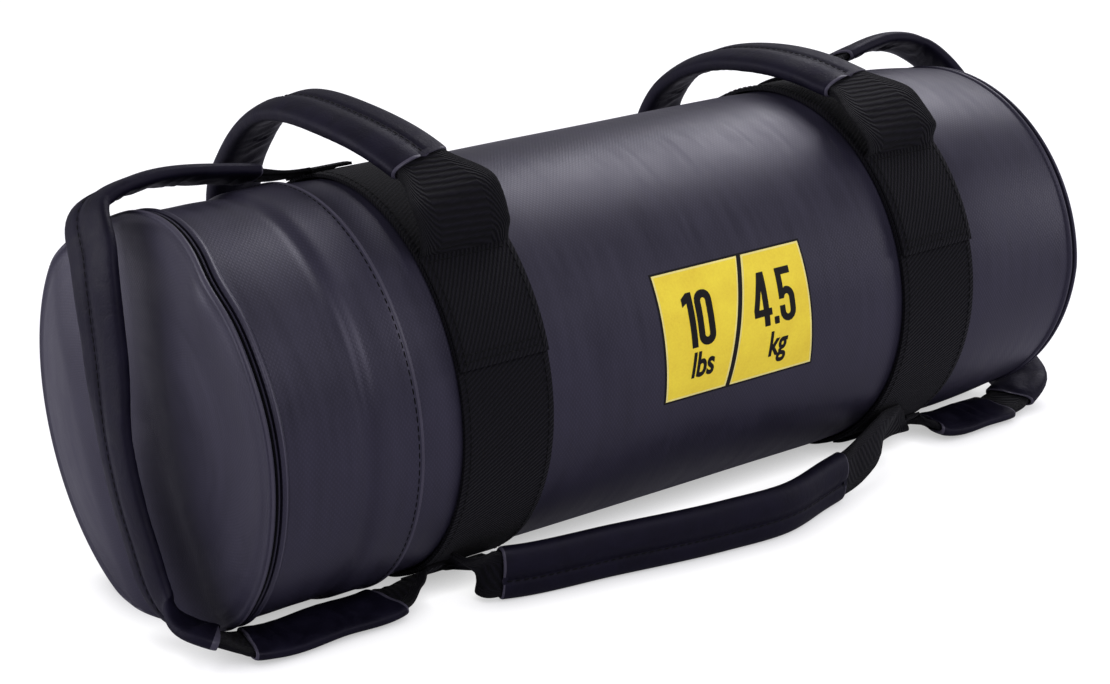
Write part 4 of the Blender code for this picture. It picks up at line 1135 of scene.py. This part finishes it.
class BAG_OT_long_handle(bpy.types.Operator):
    """Make the long handle that lies on its edge in front of the bag."""

    bl_idname = "training_bag.long_handle"
    bl_label = "Long Handle"

    def execute(self, context):
        sizes = context.scene.bag_sizes
        band = sizes.band_spacing / 2
        foot_angle = -56.0
        foot_turn = math.degrees(0.019 / sizes.radius)
        for name, side in (("left", -1), ("right", 1)):
            foot(f"long_handle_foot_{name}", sizes, side * band - 0.014, side * band + 0.014,
                 foot_angle - foot_turn, foot_angle)
        start = surface_point(sizes, -band, foot_angle, foot_height(sizes))
        end = surface_point(sizes, band, foot_angle, foot_height(sizes))
        out, leave = away(foot_angle), round_bag(foot_angle)
        lead = unit(leave * 0.94 + out * 0.34)
        rest = 0.0135 + 0.0007
        clear = -(sizes.radius * 0.735 + 0.0055)
        reach = -sizes.radius * 1.045

        def turned(side, share):
            """The width direction in a turn: flat on the band at 0, upright at 1."""
            return ALONG * side * (1 - share) + UP * share

        def on_floor(x, y, rise=0.0):
            """A place of the handle's middle line, at a rise above where its edge lies on the floor."""
            return np.array([x, y, rest + rise])

        def off_foot(foot_place, along, outward, shift=0.0):
            """A place just past a foot: along the band, out from it and shifted to the left."""
            return foot_place + leave * along + out * outward - ALONG * shift

        knots = [
            (start, -ALONG),
            (off_foot(start, 0.0070, 0.0022), turned(-1, 0.05)),
            (off_foot(start, 0.0140, 0.0062, 0.0010), turned(-1, 0.2)),
            (on_floor(-band - 0.0062, clear - 0.0012, 0.0024), turned(-1, 0.5)),
            (on_floor(-band - 0.0036, clear - 0.0058, 0.0008), turned(-1, 0.85)),
            (on_floor(-band + 0.0070, clear - 0.0090), UP),
            (on_floor(-0.55 * band, reach * 0.93 - 0.0025), UP),
            (on_floor(-0.10 * band, reach - 0.0065), UP),
            (on_floor(0.18 * band, reach * 0.985 - 0.0105), UP),
            (on_floor(0.42 * band, clear - 0.0245), UP),
            (on_floor(0.62 * band, clear - 0.0170, 0.0010), UP),
            (on_floor(0.755 * band, clear - 0.0110, 0.0046), UP),
            (on_floor(band - 0.0215, clear - 0.0060, 0.0080), turned(1, 0.85)),
            (on_floor(band - 0.0125, clear - 0.0010, 0.0085), turned(1, 0.5)),
            (off_foot(end, 0.0140, 0.0062, 0.0060), turned(1, 0.2)),
            (off_foot(end, 0.0070, 0.0022, 0.0018), turned(1, 0.05)),
            (end, ALONG),
        ]
        route = make_route(knots, lead, -lead)
        near, far = 0.038, 0.252
        sewn_sleeve("long_handle", "long_handle", route, near, far, LONG_STYLE, 1)
        webbing_legs("long_handle", ("left", "right"), route, near, far, LONG_STYLE, 0.0275, sizes.webbing, 1)
        return {"FINISHED"}


def end_strap_route(sizes, side, rim, stand_off, shoulder_in, pulled):
    """An end strap's middle line: from the top foot over the rim, down the cap and back on the floor.

    It stands off the rim by stand_off, and lower down it is pulled back in by pulled.
    """
    band_edge = sizes.band_spacing / 2 + sizes.band_width / 2
    section = rim - band_edge
    outside = rim + stand_off
    shoulder = outside - shoulder_in
    lying, off_floor = 0.0075, 0.0007
    low = lying / 2 + off_floor
    under = sizes.radius + sizes.vinyl + 0.0009
    floor_y = -(math.sqrt(under ** 2 - (sizes.axis_height - lying - off_floor) ** 2) + 0.01075)
    start = side * (band_edge + CLEARANCE)
    top = surface_point(sizes, start, TOP_ANGLE, foot_height(sizes))
    bottom = surface_point(sizes, start, BOTTOM_ANGLE, foot_height(sizes))
    across_top, across_bottom = round_bag(TOP_ANGLE), -round_bag(BOTTOM_ANGLE)
    across_floor = np.array([0.0, 1.0, 0.0])
    twist = ALONG * side * 0.28
    top_y = surface_point(sizes, 0.0, TOP_ANGLE, 0.0)[1]

    def over(x, height):
        """A place above the bag's top, at x from its middle."""
        return surface_point(sizes, side * x, TOP_ANGLE, height)

    def beside_cap(x, share, rise):
        """A place beside the cap, a share of the way from the top's y to the floor's."""
        hug = pulled * smooth(share, 0.05, 0.60)
        return np.array([side * (x - hug), top_y * (1 - share) + floor_y * share + hug / 2,
                         sizes.axis_height + rise * sizes.radius])

    def mixed(first, second, share):
        """The width direction a share of the way from the first to the second."""
        return first * (1 - share) + second * share

    knots = [
        (top, across_top),
        (over(band_edge + 0.10 * section, foot_height(sizes) + 0.0004), across_top),
        (over(band_edge + 0.40 * section, 0.0098), across_top),
        (over(shoulder - 0.0250 - pulled * 0.8, 0.0132), across_top),
        (over(shoulder - 0.0025 - pulled * 0.8, 0.0070), across_top + twist * 0.5),
        (beside_cap((shoulder + outside) / 2 + 0.0020 - pulled * 0.8, 0.19, 0.80), across_top + twist),
        (beside_cap(outside - 0.0004 - pulled * 0.4, 0.32, 0.38),
         mixed(across_top, across_floor, 0.2) + twist * 0.7),
        (beside_cap(outside + 0.0010, 0.39, -0.03), mixed(across_top, across_floor, 0.45)),
        (beside_cap(outside - 0.0005, 0.53, -0.45), mixed(across_top, across_floor, 0.7)),
        (beside_cap(outside - 0.0050, 0.70, -0.78), mixed(across_top, across_floor, 0.9)),
        (np.array([side * (outside - 0.0160 - pulled), floor_y * 0.93 + pulled, low + 0.0062 - pulled * 0.3]),
         across_floor),
        (np.array([side * (outside - 0.0250 - pulled), floor_y * 0.96 + pulled, low + 0.0016]), across_floor),
        (np.array([side * (outside - 0.0370 - pulled), floor_y + pulled * 0.6, low]), across_floor),
        (np.array([side * (band_edge + 0.55 * section), floor_y, low]), across_floor),
        (np.array([side * (band_edge + 0.0170), floor_y * 0.985, low + 0.0009]), across_floor),
        (np.array([side * (band_edge + 0.0085), bottom[1] * 0.55 + floor_y * 0.45,
                   bottom[2] * 0.65 + low * 0.35]), mixed(across_bottom, across_floor, 0.5)),
        (bottom, across_bottom),
    ]
    return make_route(knots, ALONG * side, -ALONG * side)


# Each end strap: its stand-off, the shoulder's inset, how far it is pulled in lower down, the
# length of its lower sleeve and of the bare webbing after that.
END_STRAPS = {"left": (0.0275, 0.0125, 0.0, 0.076, 0.021), "right": (0.0254, 0.0190, 0.0015, 0.052, 0.015)}


class BAG_OT_end_straps(bpy.types.Operator):
    """Make the padded strap over each end, from a band's top round the end and back underneath."""

    bl_idname = "training_bag.end_straps"
    bl_label = "End Straps"

    def execute(self, context):
        sizes = context.scene.bag_sizes
        foot_end = sizes.band_spacing / 2 + sizes.band_width / 2 - CLEARANCE
        half_turn = math.degrees(0.0135 / sizes.radius)
        for name, side, rim in (("left", -1, sizes.left_rim), ("right", 1, sizes.right_rim)):
            body = f"end_strap_{name}"
            stand_off, shoulder_in, pulled, under_length, bare = END_STRAPS[name]
            for place, angle, size in (("top", TOP_ANGLE, 0.022), ("bottom", BOTTOM_ANGLE, 0.010)):
                x_low, x_high = sorted((side * (foot_end - size), side * foot_end))
                foot(f"{body}_foot_{place}", sizes, x_low, x_high, angle - half_turn, angle + half_turn)
            route = end_strap_route(sizes, side, rim, stand_off, shoulder_in, pulled)
            total = route["length"]
            lower = (total - bare - under_length, total - bare)
            upper = (0.026, lower[0] - 0.015)
            for label, sleeve, rows, thickness in (("upper", upper, 150, 0.0082),
                                                   ("lower", lower, 50, 0.0075)):
                style = END_STYLE | {"rows": rows, "seed": 53 + rows + side, "size": (0.031, thickness)}
                sewn_sleeve(f"{body}_{label}", body, route, *sleeve, style, side)
            inside = 0.009
            for place, span, bend in (("top", (0.0, upper[0] + inside), (0.0, upper[0])),
                                      ("middle", (upper[1] - inside, lower[0] + inside), None),
                                      ("bottom", (lower[1] - inside, total), (total, lower[1]))):
                webbing_stretch(f"{body}_webbing_{place}", body, f"{body}_webbing", route, [upper, lower],
                                span, END_STYLE, 0.0267, sizes.webbing, side, bend)
        return {"FINISHED"}


def soft_box(name, place, target, size, power):
    """A square area light at a place, turned to a target."""
    lamp = bpy.data.lights.new(name, "AREA")
    lamp.shape = "SQUARE"
    lamp.size = size
    lamp.energy = power
    lamp.color = linear("#f9f8ff")[:3]
    holder = bpy.data.objects.new(name, lamp)
    holder.location = place
    holder.rotation_euler = (Vector(target) - Vector(place)).to_track_quat("-Z", "Y").to_euler()
    bpy.context.scene.collection.objects.link(holder)


# Each light: its place, what it is turned to, its size, and its power as a share of the key's.
MIDDLE = (0.0, 0.0, 0.10)
LIGHTS = {
    "key_light": ((-0.2, -1.7, 1.6), MIDDLE, 1.2, 1.0),
    "top_light": ((1.45, 0.7, 1.6), MIDDLE, 1.2, 1.05),
    "side_light": ((1.8, -0.9, 0.5), MIDDLE, 0.9, 0.3),
    "end_light": ((-2.0, 1.0, 0.8), (-0.3, 0.0, 0.1), 1.7, 1.5),
}
ROOM_COLOUR = (0.95, 0.94, 1.0, 1.0)
WHITE = (1.0, 1.0, 1.0, 1.0)


class BAG_OT_stage(bpy.types.Operator):
    """Set up the camera, the soft lights, the pale floor and the white room."""

    bl_idname = "training_bag.stage"
    bl_label = "Stage"

    def execute(self, context):
        scene = context.scene
        settings = scene.bag_stage
        camera = bpy.data.cameras.new("photo_camera")
        camera.sensor_fit = "HORIZONTAL"
        camera.sensor_width = 36.0
        camera.lens = settings.lens
        camera.clip_start = 0.05
        camera.clip_end = 50.0
        holder = bpy.data.objects.new("photo_camera", camera)
        holder.location = settings.place
        flat = math.cos(settings.tilt)
        ahead = Vector((math.sin(settings.azimuth) * flat, math.cos(settings.azimuth) * flat,
                        -math.sin(settings.tilt)))
        holder.rotation_euler = ahead.to_track_quat("-Z", "Y").to_euler()
        scene.collection.objects.link(holder)
        scene.camera = holder
        for name, (place, target, size, share) in LIGHTS.items():
            soft_box(name, place, target, size, settings.key * share)

        world = bpy.data.worlds.new("white_room")
        world.use_nodes = True
        tree = world.node_tree
        tree.nodes.clear()
        path = tree.nodes.new("ShaderNodeLightPath").outputs
        seen = calculated(tree, "MAXIMUM", path["Is Camera Ray"], path["Is Transmission Ray"])
        room = node(tree, "Background", {"Color": ROOM_COLOUR, "Strength": settings.sky})
        white = node(tree, "Background", {"Color": WHITE, "Strength": 1.0})
        node(tree, "OutputWorld", {"Surface": node(tree, "MixShader", {0: seen, 1: room, 2: white})})
        scene.world = world

        size = 6.0
        corners = size * np.array([[-1.0, -1.0, 0.0], [1.0, -1.0, 0.0], [1.0, 1.0, 0.0], [-1.0, 1.0, 0.0]])
        floor = link_mesh("studio_floor", corners, [[0, 1, 2, 3]], recalc=False)
        material, tree, shader, place = new_material("matt_floor_paint", tuple(settings.floor), 0.9,
                                                     {"Specular IOR Level": 0.1})
        path = tree.nodes.new("ShaderNodeLightPath").outputs
        amount = calculated(tree, "MULTIPLY", path["Is Camera Ray"], 0.60)
        # The white that only the camera sees fades out by ambient occlusion in the narrow gaps under the bag:
        # a painted contact shadow.
        gap = node(tree, "AmbientOcclusion", {"samples": 8, "Distance": 0.012}, "AO")
        white = calculated(tree, "MULTIPLY_ADD", gap, 0.85, 0.68)
        glow = node(tree, "Emission", {"Color": WHITE, "Strength": white})
        painted = node(tree, "MixShader", {0: amount, 1: shader.outputs[0], 2: glow})
        tree.links.new(painted, tree.nodes["Material Output"].inputs["Surface"])
        floor.data.materials.append(material)
        scene.view_settings.view_transform = "Standard"
        return {"FINISHED"}


class BAG_PT_panel(bpy.types.Panel):
    """The sidebar panel that lists the sizes, the finishes and the steps."""

    bl_label = "Training Bag"
    bl_idname = "BAG_PT_panel"
    bl_space_type = "VIEW_3D"
    bl_region_type = "UI"
    bl_category = "Training Bag"

    def draw(self, context):
        scene = context.scene
        for group in (scene.bag_sizes, scene.bag_finish, scene.bag_stage):
            box = self.layout.box()
            for key in group.__annotations__:
                box.prop(group, key)
        for operator in OPERATORS:
            self.layout.operator(operator.bl_idname)


OPERATORS = (BAG_OT_vinyl_panels, BAG_OT_ends, BAG_OT_filling, BAG_OT_bands, BAG_OT_weight_panel,
             BAG_OT_grips, BAG_OT_long_handle, BAG_OT_end_straps, BAG_OT_stage)
CLASSES = (BagSizes, BagFinish, StageSettings) + OPERATORS + (BAG_PT_panel,)


def register():
    """Registers the classes and hangs the settings on the scene."""
    for cls in CLASSES:
        bpy.utils.register_class(cls)
    bpy.types.Scene.bag_sizes = bpy.props.PointerProperty(type=BagSizes)
    bpy.types.Scene.bag_finish = bpy.props.PointerProperty(type=BagFinish)
    bpy.types.Scene.bag_stage = bpy.props.PointerProperty(type=StageSettings)


def unregister():
    """Takes the settings and the classes away again."""
    del bpy.types.Scene.bag_stage
    del bpy.types.Scene.bag_finish
    del bpy.types.Scene.bag_sizes
    for cls in reversed(CLASSES):
        bpy.utils.unregister_class(cls)


def main():
    register()
    bpy.ops.training_bag.vinyl_panels()
    bpy.ops.training_bag.ends()
    bpy.ops.training_bag.filling()
    bpy.ops.training_bag.bands()
    bpy.ops.training_bag.weight_panel()
    bpy.ops.training_bag.grips()
    bpy.ops.training_bag.long_handle()
    bpy.ops.training_bag.end_straps()
    bpy.ops.training_bag.stage()
    bpy.context.view_layer.update()


if __name__ == "__main__":
    main()
